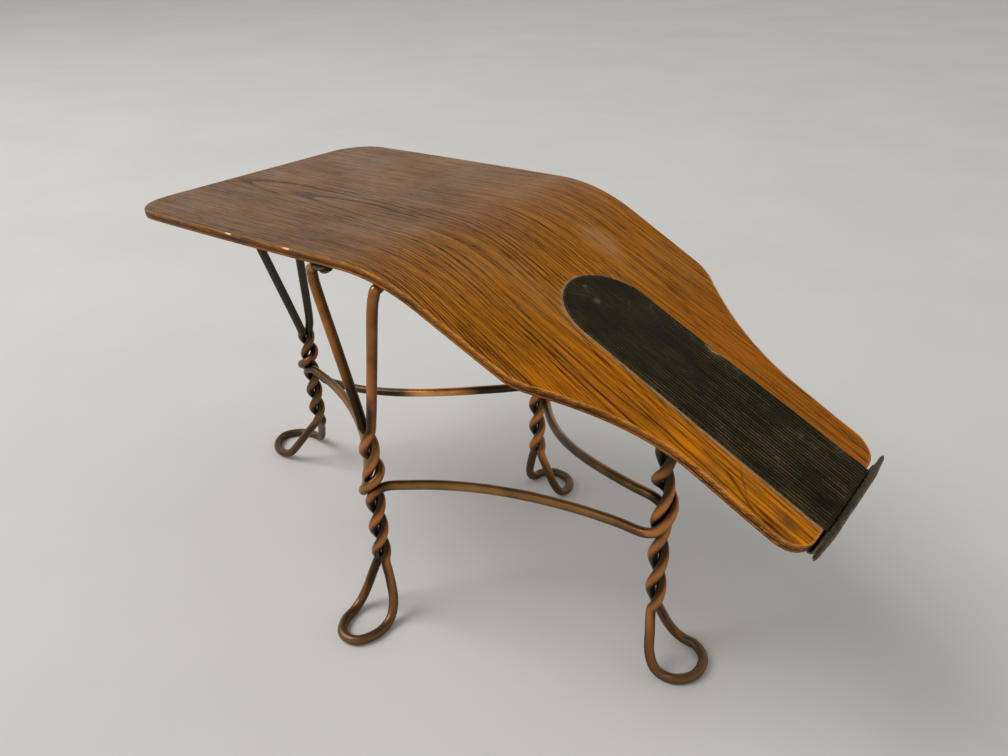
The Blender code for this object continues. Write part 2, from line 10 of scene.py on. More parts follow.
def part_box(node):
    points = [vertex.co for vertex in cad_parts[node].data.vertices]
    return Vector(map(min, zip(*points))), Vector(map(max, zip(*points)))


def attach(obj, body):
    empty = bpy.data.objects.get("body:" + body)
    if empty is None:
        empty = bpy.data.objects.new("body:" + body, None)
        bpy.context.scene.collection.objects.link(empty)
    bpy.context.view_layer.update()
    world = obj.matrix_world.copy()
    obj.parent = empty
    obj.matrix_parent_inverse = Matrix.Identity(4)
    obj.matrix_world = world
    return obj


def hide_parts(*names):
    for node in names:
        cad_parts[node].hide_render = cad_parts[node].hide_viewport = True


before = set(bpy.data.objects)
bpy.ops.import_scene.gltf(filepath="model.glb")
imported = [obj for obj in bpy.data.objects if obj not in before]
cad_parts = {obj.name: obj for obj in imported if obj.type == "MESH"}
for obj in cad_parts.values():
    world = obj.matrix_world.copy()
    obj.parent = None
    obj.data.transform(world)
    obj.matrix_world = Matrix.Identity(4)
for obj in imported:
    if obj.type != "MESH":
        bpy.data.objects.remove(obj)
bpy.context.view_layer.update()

# Sizes of the solids, in metres
CLEARANCE = 0.0003
STRAND_GAP = 0.0004
BOARD_LENGTH = 0.726
SEAT_LENGTH = 0.323
SEAT_HEIGHT = 0.368
SEAT_RISE = math.radians(3.2)
BEND_RADIUS = 0.200
RAMP_SLOPE = math.radians(22.9)
SEAT_WIDTH = 0.305
SEAT_CORNER = 0.043
SHOULDER_WIDTH = 0.2675
SHOULDER_ROUND = 0.012
SHOULDER_TAPER = 0.80
SIDE_BOW = 0.0045
TAPER_LENGTH = 0.131
NECK_LENGTH = 0.085
WAIST_WIDTH = 0.1545
END_WIDTH = 0.151
END_CORNER = 0.022
END_SKEW = math.tan(math.radians(3.7))
BOARD_OFFSET = 0.0040
END_OFFSET = 0.0016
VENEER = 0.0024
CORE = 0.0024
TREAD_START = 0.4555
TREAD_WIDTH = 0.084
TREAD_NOSE = 0.047
TREAD_OFFSET = 0.0035
TREAD_THICKNESS = 0.0030
TREAD_RIBS = 27
PLATE = 0.0016
TONGUE_LENGTH = 0.020
TONGUE_WIDTH = 0.114
WALL_GAP = 0.0020
WALL_BEND = 0.0018
FLARE_START = -0.0010
FLARE_BEND = 0.0030
LIP_ANGLE = math.radians(45.0)
LIP_HEIGHT = 0.0060
LIP_WIDTH = 0.088
WING_SPAN = 0.143
WING_TIP = 0.0030
HEEL_SCREW_SPACING = 0.056
HEEL_SCREW_INSET = 0.011
HEEL_SCREW_SHANK = 0.0014
HEEL_SCREW_HEAD = 0.0028
WIRE = 0.0095
FRAME_CENTRE = 0.312
SIDE_LEG_INSET = 0.0312
STRETCHER_BOW = 0.026
STRETCHER_LEAD = 0.011
STRETCHER_RISE = 0.0055
GROOVE_HOLD = 0.10
GROOVE_SETTLE = 0.65
STRUT_OUTSET = 0.016
GUEST_SPREAD = 0.050
EYE_LENGTH = 0.030
EYE_WIDTH = 0.015
EYE_THICKNESS = 0.0046
EYE_SCREW_INSET = 0.008
STRUT_SCREW_SHANK = 0.0020
STRUT_SCREW_HEAD = 0.0047
STRUT_SCREW_DOME = 0.0028
# Legs: name, way out, distance out, pitch, crotch height, spread of the own strut, and the foot's
# reach, width and turn in degrees
LEG_SIZES = (
    ("near", (0.0, -1.0), SEAT_WIDTH / 2.0 - SIDE_LEG_INSET, 0.060, 0.063, 0.031, (0.060, 0.043, 8.7)),
    ("low", (1.0, 0.0), 0.240, 0.0745, 0.056, 0.025, (0.050, 0.054, 8.2)),
    ("far", (0.0, 1.0), SEAT_WIDTH / 2.0 - SIDE_LEG_INSET, 0.057, 0.063, 0.025, (0.045, 0.049, -3.9)),
    ("high", (-1.0, 0.0), 0.2555, 0.050, 0.062, 0.017, (0.0855, 0.052, 0.0)),
)
# Foot loops from the crotch to the toe, as shares of the reach, the half width and the drop
FOOT_SHAPE = (
    (0.06, 0.50, 0.66), (0.14, 0.78, 0.32), (0.28, 0.93, 0.09),
    (0.46, 0.96, 0.00), (0.70, 0.90, 0.00), (0.94, 0.50, 0.00),
)
SPLAYED_SHAPE = (
    (0.13, 0.40, 0.73), (0.28, 0.69, 0.40), (0.46, 0.96, 0.08),
    (0.71, 1.00, 0.00), (0.90, 0.65, 0.00),
)

# Oak grain: the heart of the tree as a line on the board, the crest of the arches, the spacing of rings
HEART_ACROSS = -0.012
HEART_SLANT = -0.075
HEART_DRIFT = 0.044
HEART_RIPPLE = 0.0044
GRAIN_CREST = 0.36
RING_SPACING = 0.0026

# Dark grain lines beside the tread: start and end along, start and end across, half width, strength
GRAIN_LINES = (
    (0.560, 0.714, -0.0635, -0.0712, 0.0015, 0.75),
    (0.636, 0.662, -0.0556, -0.0585, 0.0024, 0.60),
    (0.658, 0.684, -0.0580, -0.0690, 0.0018, 0.70),
    (0.664, 0.672, -0.0500, -0.0585, 0.0020, 0.45),
)
LINE_WAVER = 0.0030
LINE_LEAD = 0.008
LINE_TAIL = 0.010

# Wear and tone of the board's top: where brown, partly a painted sheen, turns golden, a dark smudge, a pale
# smear and dust beside the tread
TONE_CHANGE = (0.24, 0.47)
SMUDGE = (0.7057, -0.0565)
SMUDGE_STRETCH = (0.7, 1.3)
SMEAR = (0.4314, 0.0717)
SMEAR_STRETCH = (0.7, 1.2)
DUST_WIDTH = 0.0046

# Edges of the plies: how round they are, how deep their nicks, and two chips in the near arris
RIM_BAND = 0.0014
SOFT_EDGE = 0.0009
SAWN_EDGE = 0.0002
TOP_NICK = 0.0012
LOWER_NICK = 0.0006
CHIPS = (0.177, 0.260)
CHIP_REACH = 0.0052
CHIP_GROWTH = 1.8
END_CLEAR = 0.0032

# Tread: its overhang, its tear, its ribs, where they are worn, and pale specks as spots with two radii
TREAD_OVERHANG = 0.0017
TREAD_END_WOBBLE = 0.00025
TEAR_AT = 0.577
TEAR_HALF_LENGTH = 0.012
TEAR_REACH = 0.008
TEAR_DEPTH = 0.0032
TEAR_FRAY = 0.0009
RIB_DEPTH = 0.0010
WORN_DEPTH = 0.0005
RIM_ROUND = 0.0012
RIM_DROP = 0.0008
DUSTY_RIM = 0.0008
NOSE_WORN_TO = 0.640
NOSE_WEAR_FADE = 0.15
MIDDLE_ACROSS = -0.004
MIDDLE_WORN_TO = 0.70
MIDDLE_WEAR_FADE = 0.12
RUBBED_FROM = 0.7215
RUBBED_SLANT = 0.07
RUBBED_FADE = 0.003
SPECKS = ((0.4675, 0.0035, 0.0004, 0.0030), (0.4850, -0.0012, 0.0006, 0.0050))

# Heel plate and screws: battering of the lip, rounding of its tips and edges, points and crowns of the screws
LIP_BATTER = 0.00022
WING_ROUND = 0.006
PLATE_BEVEL = 0.0004
SCREW_POINT = 0.0015
HEEL_SCREW_CHAMFER = 0.0003
HEEL_SCREW_CROWN = 0.0004

# Wire: distances from a leg's axis where a strand counts as free
TWISTED_WITHIN = 0.010
FREE_BEYOND = 0.020

# Surround, key light and floor
HORIZON_LIGHT = 0.72
ZENITH_LIGHT = 0.46
KEY_PLACE = Vector((-2.6, -2.2, 4.4))
KEY_TARGET = Vector((0.0, 0.0, 0.2))
KEY_SIZE = 3.2
KEY_POWER = 165.0
FLOOR_SIDE = 9.0
FLOOR_BACK = 14.0

# Camera, fitted to the photograph
CAMERA_PLACE = Vector((0.8541, -0.5316, 0.6392))
CAMERA_YAW = math.radians(-42.2)
CAMERA_PITCH = math.radians(29.38)
CAMERA_ROLL = math.radians(-1.59)
CAMERA_LENS = 31.06
SENSOR_WIDTH = 36.0

# Fineness of the visible pieces
CORNER_STEPS = 7
SEAT_STEPS = 104
SHOULDER_STEPS = 14
NECK_STEPS = 48
BOARD_COLUMNS = 12
RIB_COLUMNS = 6
TREAD_ROWS = 56
TONGUE_STEPS = 40
WING_STEPS = 8
LIP_STEPS = 4
SCREW_SIDES = 28
RINGS_PER_TURN = 10
STRETCHER_RINGS = 10
WIRE_SIDES = 16
CAD_SIDES = 8
WIRE_SUBSTEPS = 5

# Gap under the feet, so that their flats don't share the floor's plane
FLOOR_GAP = 0.00006

TURN = 2.0 * math.pi
QUARTER = TURN / 4.0
BEND_LENGTH = BEND_RADIUS * (SEAT_RISE + RAMP_SLOPE)
RAMP_START = SEAT_LENGTH + BEND_LENGTH
WAIST_AT = BOARD_LENGTH - NECK_LENGTH
SHOULDER_AT = WAIST_AT - TAPER_LENGTH
BOARD_THICKNESS = 2.0 * VENEER + CORE + 2.0 * CLEARANCE
STRAND_RADIUS = (WIRE + STRAND_GAP) / 2.0
FLAT_RADIUS = WIRE / 2.0 * math.cos(math.pi / CAD_SIDES)

veneer_low, veneer_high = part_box("top_veneer")
SHIFT = Vector((veneer_low.x, (veneer_low.y + veneer_high.y) / 2.0 - BOARD_OFFSET, FLOOR_GAP))


def mix(start, end, share):
    return start + (end - start) * share


def smooth(share):
    share = min(max(share, 0.0), 1.0)
    return share * share * (3.0 - 2.0 * share)


def spread(start, end, count):
    return [mix(start, end, step / count) for step in range(count + 1)]


def halved(low, high, is_low):
    """Value between low and high where a test stops holding."""
    for _ in range(60):
        middle = (low + high) / 2.0
        if is_low(middle):
            low = middle
        else:
            high = middle
    return low


def wobble(value, seed):
    """Smooth irregular wave between about -1 and 1."""
    first = math.sin(value * 1.0 + seed * 1.7)
    second = math.sin(value * 2.3 + seed * 3.1 + 1.3)
    third = math.sin(value * 4.9 + seed * 5.3 + 0.4)
    return 0.5 * first + 0.3 * second + 0.2 * third


# Board surface


def slope_at(along):
    share = min(max((along - SEAT_LENGTH) / BEND_LENGTH, 0.0), 1.0)
    return mix(-SEAT_RISE, RAMP_SLOPE, share)


def board_point(along, across, above=0.0):
    slope = slope_at(along)
    flat = min(along, SEAT_LENGTH)
    ramp = max(along - RAMP_START, 0.0)
    x = flat * math.cos(SEAT_RISE) + ramp * math.cos(RAMP_SLOPE)
    z = SEAT_HEIGHT + flat * math.sin(SEAT_RISE) - ramp * math.sin(RAMP_SLOPE)
    x += BEND_RADIUS * (math.sin(slope) + math.sin(SEAT_RISE))
    z += BEND_RADIUS * (math.cos(slope) - math.cos(SEAT_RISE))
    return Vector((x + above * math.sin(slope), across, z + above * math.cos(slope)))


def board_normal(along):
    slope = slope_at(along)
    return Vector((math.sin(slope), 0.0, math.cos(slope)))


def skewed(along, across):
    """Place along the board, whose low end is cut slightly out of square."""
    return along - END_SKEW * across * smooth((along - WAIST_AT) / (NECK_LENGTH - END_CORNER))


def along_at(x, above):
    return halved(-BOARD_LENGTH, 2.0 * BOARD_LENGTH, lambda along: board_point(along, 0.0, above).x < x)


def corner_inset(from_end, radius):
    if from_end >= radius:
        return 0.0
    return radius - math.sqrt(radius ** 2 - (radius - max(from_end, 0.0)) ** 2)


def side_width(along):
    end_slope = (END_WIDTH - WAIST_WIDTH) / NECK_LENGTH
    if along <= SHOULDER_AT:
        share = along / SHOULDER_AT
        return mix(SEAT_WIDTH, SHOULDER_WIDTH, share) + 8.0 * SIDE_BOW * share * (1.0 - share)
    if along <= WAIST_AT:
        share = (along - SHOULDER_AT) / TAPER_LENGTH
        width = mix(SHOULDER_WIDTH, WAIST_WIDTH, smooth(share))
        width -= 2.0 * SHOULDER_TAPER * TAPER_LENGTH * share * (1.0 - share) ** 2
        return width - end_slope * TAPER_LENGTH * share * share * (1.0 - share)
    return WAIST_WIDTH + end_slope * (along - WAIST_AT)


def half_width(along):
    width = side_width(along)
    share = (along - SHOULDER_AT + SHOULDER_ROUND) / (2.0 * SHOULDER_ROUND)
    if 0.0 < share < 1.0:
        corner = side_width(SHOULDER_AT)
        before = mix(side_width(SHOULDER_AT - SHOULDER_ROUND), corner, share)
        after = mix(corner, side_width(SHOULDER_AT + SHOULDER_ROUND), share)
        width = mix(before, after, share)
    inset = corner_inset(along, SEAT_CORNER) + corner_inset(BOARD_LENGTH - along, END_CORNER)
    return width / 2.0 - inset


def middle_line(along):
    share = (along - WAIST_AT + 0.5 * NECK_LENGTH) / (1.2 * NECK_LENGTH)
    return mix(BOARD_OFFSET, END_OFFSET, smooth(share))


# Shader building


class Field:
    """A value inside a material, which Python's own signs add, subtract, multiply and divide."""

    def __init__(self, shader, socket):
        self.shader = shader
        self.socket = socket

    def calc(self, operation, *others):
        return self.shader.node("ShaderNodeMath", dict(enumerate((self, *others))), operation=operation)

    def __add__(self, other):
        return self.calc("ADD", other)

    def __sub__(self, other):
        return self.calc("SUBTRACT", other)

    def __rsub__(self, other):
        return self * -1.0 + other

    def __mul__(self, other):
        return self.calc("MULTIPLY", other)

    def __truediv__(self, other):
        return self.calc("DIVIDE", other)

    def __abs__(self):
        return self.calc("ABSOLUTE")

    def parts(self):
        return [self.shader.node("ShaderNodeSeparateXYZ", {0: self}, axis) for axis in "XYZ"]

    def span(self, low, high, start=0.0, end=1.0, kind="SMOOTHSTEP"):
        """Value that goes from start to end as this one goes from low to high, and stays there beyond."""
        inputs = {"Value": self, "From Min": low, "From Max": high, "To Min": start, "To Max": end}
        return self.shader.node("ShaderNodeMapRange", inputs, interpolation_type=kind)

    def noise(self, scale, detail=3.0, roughness=0.5):
        inputs = {"Vector": self, "Scale": scale, "Detail": detail, "Roughness": roughness}
        return self.shader.node("ShaderNodeTexNoise", inputs)

    def stretch(self, scale):
        return self.shader.node("ShaderNodeVectorMath", {0: self, 1: (*scale, 1.0)[:3]}, operation="MULTIPLY")

    def grain(self, scale, detail, roughness=0.5):
        """Noise with a scale of its own in each direction."""
        return self.stretch(scale).noise(1.0, detail, roughness)

    def near(self, spot, inner, outer, scale=(1.0, 1.0, 1.0)):
        """Share that is 1 within the inner distance of a spot and 0 beyond the outer one."""
        middle = [place * size for place, size in zip(spot, scale)]
        places = {0: self.stretch(scale), 1: (*middle, 0.0)[:3]}
        away = self.shader.node("ShaderNodeVectorMath", places, "Value", operation="DISTANCE")
        return away.span(inner, outer, 1.0, 0.0)


class Shader:
    """The nodes of a material or of the surround, with a colour that is built up in coats."""

    def __init__(self, name, kind="materials", surface="Principled BSDF"):
        self.owner = getattr(bpy.data, kind).new(name)
        self.owner.use_nodes = True
        self.tree = self.owner.node_tree
        self.surface = self.tree.nodes[surface]
        self.colour = None

    def put(self, socket, value):
        if isinstance(value, Field):
            self.tree.links.new(value.socket, socket)
        else:
            socket.default_value = value

    def node(self, kind, inputs=None, output=0, **settings):
        item = self.tree.nodes.new(kind)
        for key, value in settings.items():
            setattr(item, key, value)
        for key, value in (inputs or {}).items():
            self.put(item.inputs[key], value)
        return Field(self, item.outputs[output])

    def place(self):
        return self.node("ShaderNodeTexCoord", output="Object")

    def plan(self):
        return self.node("ShaderNodeUVMap", uv_map="plan")

    def value(self, name):
        return self.node("ShaderNodeAttribute", output="Fac", attribute_name=name)

    def blend(self, share, first, second):
        return self.node("ShaderNodeMix", {0: share, 6: first, 7: second}, 2, data_type="RGBA")

    def coat(self, share, colour):
        """Lays a share of one more colour over the colour so far."""
        self.colour = self.blend(share, self.colour, colour)

    def bump(self, height, strength, distance):
        inputs = {"Height": height, "Strength": strength, "Distance": distance}
        self.put(self.surface.inputs["Normal"], self.node("ShaderNodeBump", inputs))

    def finish(self, roughness, specular=0.5, metallic=0.0):
        inputs = {
            "Base Color": self.colour, "Roughness": roughness,
            "Specular IOR Level": specular, "Metallic": metallic,
        }
        for key, value in inputs.items():
            self.put(self.surface.inputs[key], value)
        return self.owner


def tone(red, green, blue):
    """Linear colour from the eight-bit values that a picture shows."""
    linear = []
    for value in (red, green, blue):
        share = value / 255.0
        linear.append(share / 12.92 if share <= 0.04045 else ((share + 0.055) / 1.055) ** 2.4)
    return (*linear, 1.0)


# Materials


def oak_face(oak, plan, light, dark):
    """Plain-sawn oak: rings that open out into long arches off the middle, and short dark pores."""
    along, across, _ = plan.parts()
    drift = plan.grain((2.2, 6.0), 2.0) - 0.5
    ripple = plan.grain((22.0, 90.0), 4.0, 0.6)
    heart = along * HEART_SLANT + HEART_ACROSS
    from_heart = across - heart + drift * HEART_DRIFT + ripple * HEART_RIPPLE
    from_crest = along - GRAIN_CREST
    depth = from_crest * from_crest * 0.040 + 0.046
    ring = (from_heart * from_heart + depth * depth).calc("SQRT") / RING_SPACING
    growth = (ring + plan.grain((2.0, 26.0), 2.0) * 1.2).calc("FRACT")
    band = growth.span(0.0, 0.07) * growth.span(0.09, 0.52, 1.0, 0.0)
    band *= plan.grain((1.2, 30.0), 2.0).span(0.30, 0.66, 0.30, 1.0)
    band *= from_heart.span(0.050, 0.095, 1.0, 0.55)
    band *= plan.grain((34.0, 420.0), 4.0, 0.7).span(0.32, 0.56, 0.55, 1.0)
    streak = plan.grain((9.0, 330.0), 4.0, 0.72).span(0.40, 0.62, 0.0, 0.58)
    pores = plan.grain((48.0, 560.0), 3.0, 0.7).span(0.51, 0.59) * (band * 0.4 + 0.6)
    plain_strip = along.span(0.50, 0.62) * across.span(-0.02, -0.05)
    pores *= plain_strip.span(0.0, 1.0, 1.0, 0.35)
    oak.colour = oak.blend(band * 0.80 + streak + pores * 0.52, light, dark)
    oak.coat(plan.grain((5.0, 9.0), 3.0).span(0.40, 0.80, 0.0, 0.28), dark)
    return band, pores


def grain_lines(oak, plan, dark):
    """Single dark lines of the grain beside the tread."""
    along, across, _ = plan.parts()
    waver = (plan.grain((60.0, 60.0), 2.0) - 0.5) * LINE_WAVER
    for start, end, start_across, end_across, half, strength in GRAIN_LINES:
        slope = (end_across - start_across) / (end - start)
        course = along * slope + (start_across - slope * start)
        line = abs(across - course - waver).span(0.2 * half, half, strength, 0.0)
        line *= along.span(start - LINE_LEAD, start) * along.span(end, end + LINE_TAIL, 1.0, 0.0)
        oak.coat(line, dark)


def low_stains(oak, plan):
    """Dark stains beside the low end of the tread."""
    along, across, _ = plan.parts()
    cloud = plan.grain((30.0, 55.0), 4.0, 0.6)
    stain = along.span(0.62, 0.66) * across.span(-0.046, -0.053) * cloud.span(0.44, 0.66, 0.0, 0.55)
    smudge = plan.near(SMUDGE, 0.002, 0.013, SMUDGE_STRETCH)
    smudge *= cloud.span(0.36, 0.60, 0.15, 0.80)
    oak.coat(stain.calc("MAXIMUM", smudge), tone(100, 62, 34))


def tread_dust(oak, plan):
    """Dust and old glue along the tread's outline, and wood that has faded beside it."""
    along, across, _ = plan.parts()
    half = TREAD_WIDTH / 2.0
    up = (TREAD_START + TREAD_NOSE - along).calc("MAXIMUM", 0.0) * (half / TREAD_NOSE)
    beside = across - TREAD_OFFSET
    rim = (up * up + beside * beside).calc("SQRT") - half
    faded = rim.span(0.0, 0.010, 0.20, 0.0) * across.span(0.0, 0.03, 1.0, 0.3)
    oak.coat(faded * along.span(TREAD_START - 0.012, TREAD_START + 0.01), tone(196, 146, 92))
    ragged = plan.grain((140.0, 140.0), 4.0, 0.7)
    dust = (rim / (ragged * DUST_WIDTH + 0.0001)).span(0.45, 1.25, 1.0, 0.0)
    dust *= along.span(TREAD_START - 0.02, TREAD_START - 0.004)
    dust *= ragged.span(0.32, 0.58, 0.08, 0.72) * across.span(0.006, 0.034, 1.0, 0.45)
    oak.coat(dust, tone(170, 152, 114))
    return dust


def bend_scuffs(oak, plan):
    """Pale scuffing on the bend, and one smear on its far side."""
    along, _, _ = plan.parts()
    haze = along.span(0.36, 0.43) * along.span(0.46, 0.56, 1.0, 0.0)
    haze *= plan.grain((7.0, 10.0), 3.0, 0.6).span(0.48, 0.72, 0.0, 0.22)
    haze += plan.near(SMEAR, 0.004, 0.026, SMEAR_STRETCH) * 0.48
    haze *= plan.grain((9.0, 240.0), 3.0, 0.7).span(0.36, 0.62, 0.15, 1.0)
    oak.coat(haze, tone(180, 146, 112))
    return haze


def oak_top():
    """Varnished oak, brown on the seat and golden on the ramp, with scuffs, stains and worn edges; the seat's
    brown is partly a painted sheen, the ramp's far side has a painted shade, its low near strip painted
    light, and the arris a painted highlight.
    """
    oak = Shader("oak_top")
    plan = oak.plan()
    along, across, _ = plan.parts()
    # Golden ramp tone: painted shade darkens the far side, it is darker towards the bend, and painted light
    # brightens the low near strip
    golden = oak.blend(across.span(-0.03, 0.06), tone(214, 128, 3), tone(182, 106, 6))
    golden = oak.blend(along.span(0.56, 0.46), golden, tone(184, 112, 10))
    lit_low_strip = along.span(0.54, 0.68) * across.span(-0.03, -0.06)
    golden = oak.blend(lit_low_strip, golden, tone(228, 139, 2))
    # Seat brown, partly a painted sheen, giving way to the golden ramp
    down = along.span(*TONE_CHANGE)
    light = oak.blend(down, tone(146, 101, 50), golden)
    dark = oak.blend(down, tone(44, 27, 11), tone(74, 37, 1))
    band, pores = oak_face(oak, plan, light, dark)
    grain_lines(oak, plan, dark)
    low_stains(oak, plan)
    dust = tread_dust(oak, plan)
    haze = bend_scuffs(oak, plan)
    # Arris lightened as worn varnish and as a painted highlight, stronger on the ramp, and bare wood where it
    # is chipped
    edge = oak.value("edge")
    worn = edge.span(0.0, 1.0) * plan.grain((45.0, 45.0), 4.0, 0.7).span(0.30, 0.60, 0.0, 0.95)
    oak.coat(worn * along.span(0.30, 0.48, 0.40, 1.0), tone(226, 164, 84))
    oak.coat(edge.span(1.05, 1.5), tone(246, 208, 160))
    rough = plan.grain((12.0, 16.0), 4.0, 0.6).span(0.3, 0.7, 0.36, 0.50)
    oak.bump(band * -0.35 - pores * 0.65, 0.45, 0.0002)
    return oak.finish(rough + haze * 0.25 + dust * 0.35, along.span(*TONE_CHANGE, 0.18, 0.06))


def oak_under():
    """Bare oak under the board, browned and grimy."""
    oak = Shader("oak_under")
    plan = oak.plan()
    band, pores = oak_face(oak, plan, tone(140, 88, 42), tone(74, 42, 20))
    grime = plan.grain((8.0, 8.0), 5.0, 0.6)
    oak.coat(grime.span(0.40, 0.75, 0.0, 0.55), tone(70, 44, 26))
    oak.bump(band * -0.4 - pores * 0.6, 0.6, 0.0002)
    return oak.finish(grime.span(0.3, 0.7, 0.50, 0.70))


def ply_edge(name, light, dark, share):
    """Ply seen on its edge: dark varnish over layered wood, with an arris lightened as rubbed varnish and as
    a painted highlight, and pale chips.
    """
    edge = Shader(name)
    place = edge.place()
    layer = place.grain((26.0, 26.0, 900.0), 3.0, 0.6)
    fleck = place.grain((110.0, 110.0, 420.0), 4.0, 0.7)
    broad = place.noise(22.0)
    edge.colour = edge.blend(layer.span(0.35, 0.65), dark, light)
    edge.coat(broad.span(0.40, 0.70, 0.0, share), tone(176, 108, 30))
    edge.coat(fleck.span(0.60, 0.72, 0.0, 0.60), tone(212, 146, 64))
    worn = edge.value("edge")
    # The arris: rubbed varnish and a painted highlight, stronger on the ramp
    arris = worn.span(0.55, 1.0) * fleck.span(0.44, 0.58, 0.10, 0.62)
    along, _, _ = edge.plan().parts()
    edge.coat(arris * along.span(0.28, 0.46, 0.24, 1.0), tone(222, 142, 56))
    edge.coat(worn.span(1.05, 1.5), tone(250, 216, 172))
    edge.bump(layer * 0.6 + fleck, 0.6, 0.0004)
    return edge.finish(broad.span(0.3, 0.7, 0.34, 0.58), 0.14)


def worn_rubber():
    """Old ribbed rubber: brown-black, dusty on the crowns, with painted shade in the grooves, smooth where
    shoes have rubbed it.
    """
    rubber = Shader("worn_rubber")
    plan = rubber.plan()
    wear, crown, rim = (rubber.value(name) for name in ("wear", "crown", "rim"))
    blotch = plan.grain((24.0, 34.0), 5.0, 0.62)
    grit = plan.grain((420.0, 900.0), 4.0, 0.7)
    rubber.colour = rubber.blend(blotch.span(0.32, 0.70), tone(20, 16, 8), tone(39, 32, 18))
    lift = crown * grit.span(0.30, 0.70, 0.30, 1.0)
    lift *= plan.grain((26.0, 520.0), 3.0, 0.6).span(0.34, 0.64, 0.15, 1.0)
    lift *= blotch.span(0.38, 0.62, 0.35, 1.0) * wear.span(0.2, 0.9, 0.70, 0.28)
    rubber.coat(lift, tone(120, 105, 69))
    # Painted shade in the grooves between the ribs, fading where they are worn flat
    groove = (1.0 - crown) * (1.0 - wear)
    rubber.coat(groove * 0.80, tone(15, 12, 7))
    # Curved scratches, pale specks, and the fibres of a torn edge
    scratch = abs(plan.grain((38.0, 38.0), 1.0, 0.4) - 0.5).span(0.002, 0.009, 1.0, 0.0)
    rubber.coat(scratch * blotch.span(0.50, 0.62, 0.0, 0.24), tone(122, 114, 92))
    flake = plan.grain((760.0, 1150.0), 3.0, 0.7).span(0.42, 0.62, 0.04, 0.52)
    for *spot, inner, outer in SPECKS:
        rubber.coat(plan.near(spot, inner, outer) * flake, tone(138, 134, 118))
    fibre = rubber.blend(rim.span(0.4, 0.9), tone(140, 128, 100), tone(186, 168, 126))
    rubber.coat(rim * grit.span(0.36, 0.62, 0.10, 0.80), fibre)
    rubber.bump(blotch * 0.5 + grit, 0.35, 0.0003)
    return rubber.finish(blotch.span(0.3, 0.7, 0.62, 0.82) - wear * 0.16, 0.08)


def aged_steel(name, light, dark, rust):
    """Dull stained steel, brighter on its rubbed edges, and on the heel plate's lip bend as a painted
    highlight.
    """
    steel = Shader(name)
    place = steel.place()
    blotch = place.noise(70.0, 6.0, 0.65)
    pit = place.noise(520.0, 3.0, 0.6)
    steel.colour = steel.blend(blotch.span(0.34, 0.68), dark, light)
    steel.coat(place.noise(26.0, 4.0, 0.6).span(0.46, 0.74, 0.0, 0.6), rust)
    # Rubbed edges, and a painted highlight along the heel plate's lip bend
    steel.coat(steel.value("edge") * pit.span(0.40, 0.66) * 0.42, tone(168, 158, 140))
    steel.bump(pit * 0.5 + blotch, 0.45, 0.0004)
    return steel.finish(blotch.span(0.3, 0.7, 0.42, 0.62), metallic=0.75)


def aged_copper(bare_highlight_spot):
    """Copper plate gone bronze-brown, rubbed bright in places, nearly black on the high leg's struts, with
    painted highlights and shade from the wire's crown values and painted shade under the board.
    """
    copper = Shader("aged_copper")
    place = copper.place()
    out, _, high = place.parts()
    blotch = place.noise(16.0, 5.0, 0.6)
    fine = place.noise(260.0, 4.0, 0.65)
    pit = place.noise(700.0, 3.0, 0.6)
    # Painted highlights and shade: light on the wire's crowns, dark in the twists' crevices and on the eyes
    bright = (blotch.span(0.30, 0.70) * 0.40 + copper.value("crown")).span(0.25, 1.30)
    copper.colour = copper.blend(bright, tone(50, 35, 16), tone(192, 124, 62))
    # Stretchers, duller and more olive than the legs, with the same painted highlights and shade
    olive = copper.blend(bright, tone(50, 45, 30), tone(158, 122, 72))
    copper.coat(copper.value("level") * 0.75, olive)
    copper.coat(place.noise(11.0, 3.0, 0.55).span(0.52, 0.72, 0.0, 0.24), tone(206, 142, 80))
    copper.coat(fine.span(0.55, 0.78, 0.0, 0.42), tone(60, 44, 27))
    # Painted shade under the board: darker high leg, with nearly black struts that are partly worn plating,
    # and dark top of the low leg
    copper.coat(out.span(-0.190, -0.240) * fine.span(0.2, 0.7, 0.75, 0.45), tone(66, 55, 34))
    black = out.span(-0.215, -0.262) * high.span(0.165, 0.230) * fine.span(0.2, 0.6, 0.85, 1.0)
    copper.coat(black, tone(64, 63, 51))
    copper.coat(out.span(0.16, 0.205) * high.span(0.200, 0.226) * 0.9, tone(48, 44, 33))
    # Feet, dull brown and speckled
    foot = high.span(0.080, 0.012, 0.0, 0.75) * blotch.span(0.25, 0.60, 0.55, 1.0)
    copper.coat(foot, tone(92, 68, 46))
    copper.coat(foot * pit.span(0.58, 0.70, 0.0, 0.7), tone(170, 138, 112))
    # Bright patch near the middle of one stretcher: bare copper with a painted highlight
    bare_and_highlight = place.near(bare_highlight_spot, 0.018, 0.052) * blotch.span(0.25, 0.55, 0.55, 1.0)
    copper.coat(bare_and_highlight, tone(232, 164, 98))
    rough = blotch.span(0.3, 0.7, 0.28, 0.42) + black * 0.12 + foot * 0.10 - bare_and_highlight * 0.10
    copper.bump(pit * 0.5 + fine, 0.30, 0.0003)
    return copper.finish(rough, metallic=0.80)


# Mesh building


def add(name, data):
    item = bpy.data.objects.new(name, data)
    bpy.context.scene.collection.objects.link(item)
    return item


def new_mesh(name, points, faces):
    mesh = bpy.data.meshes.new(name)
    mesh.from_pydata(points, [], faces)
    return mesh


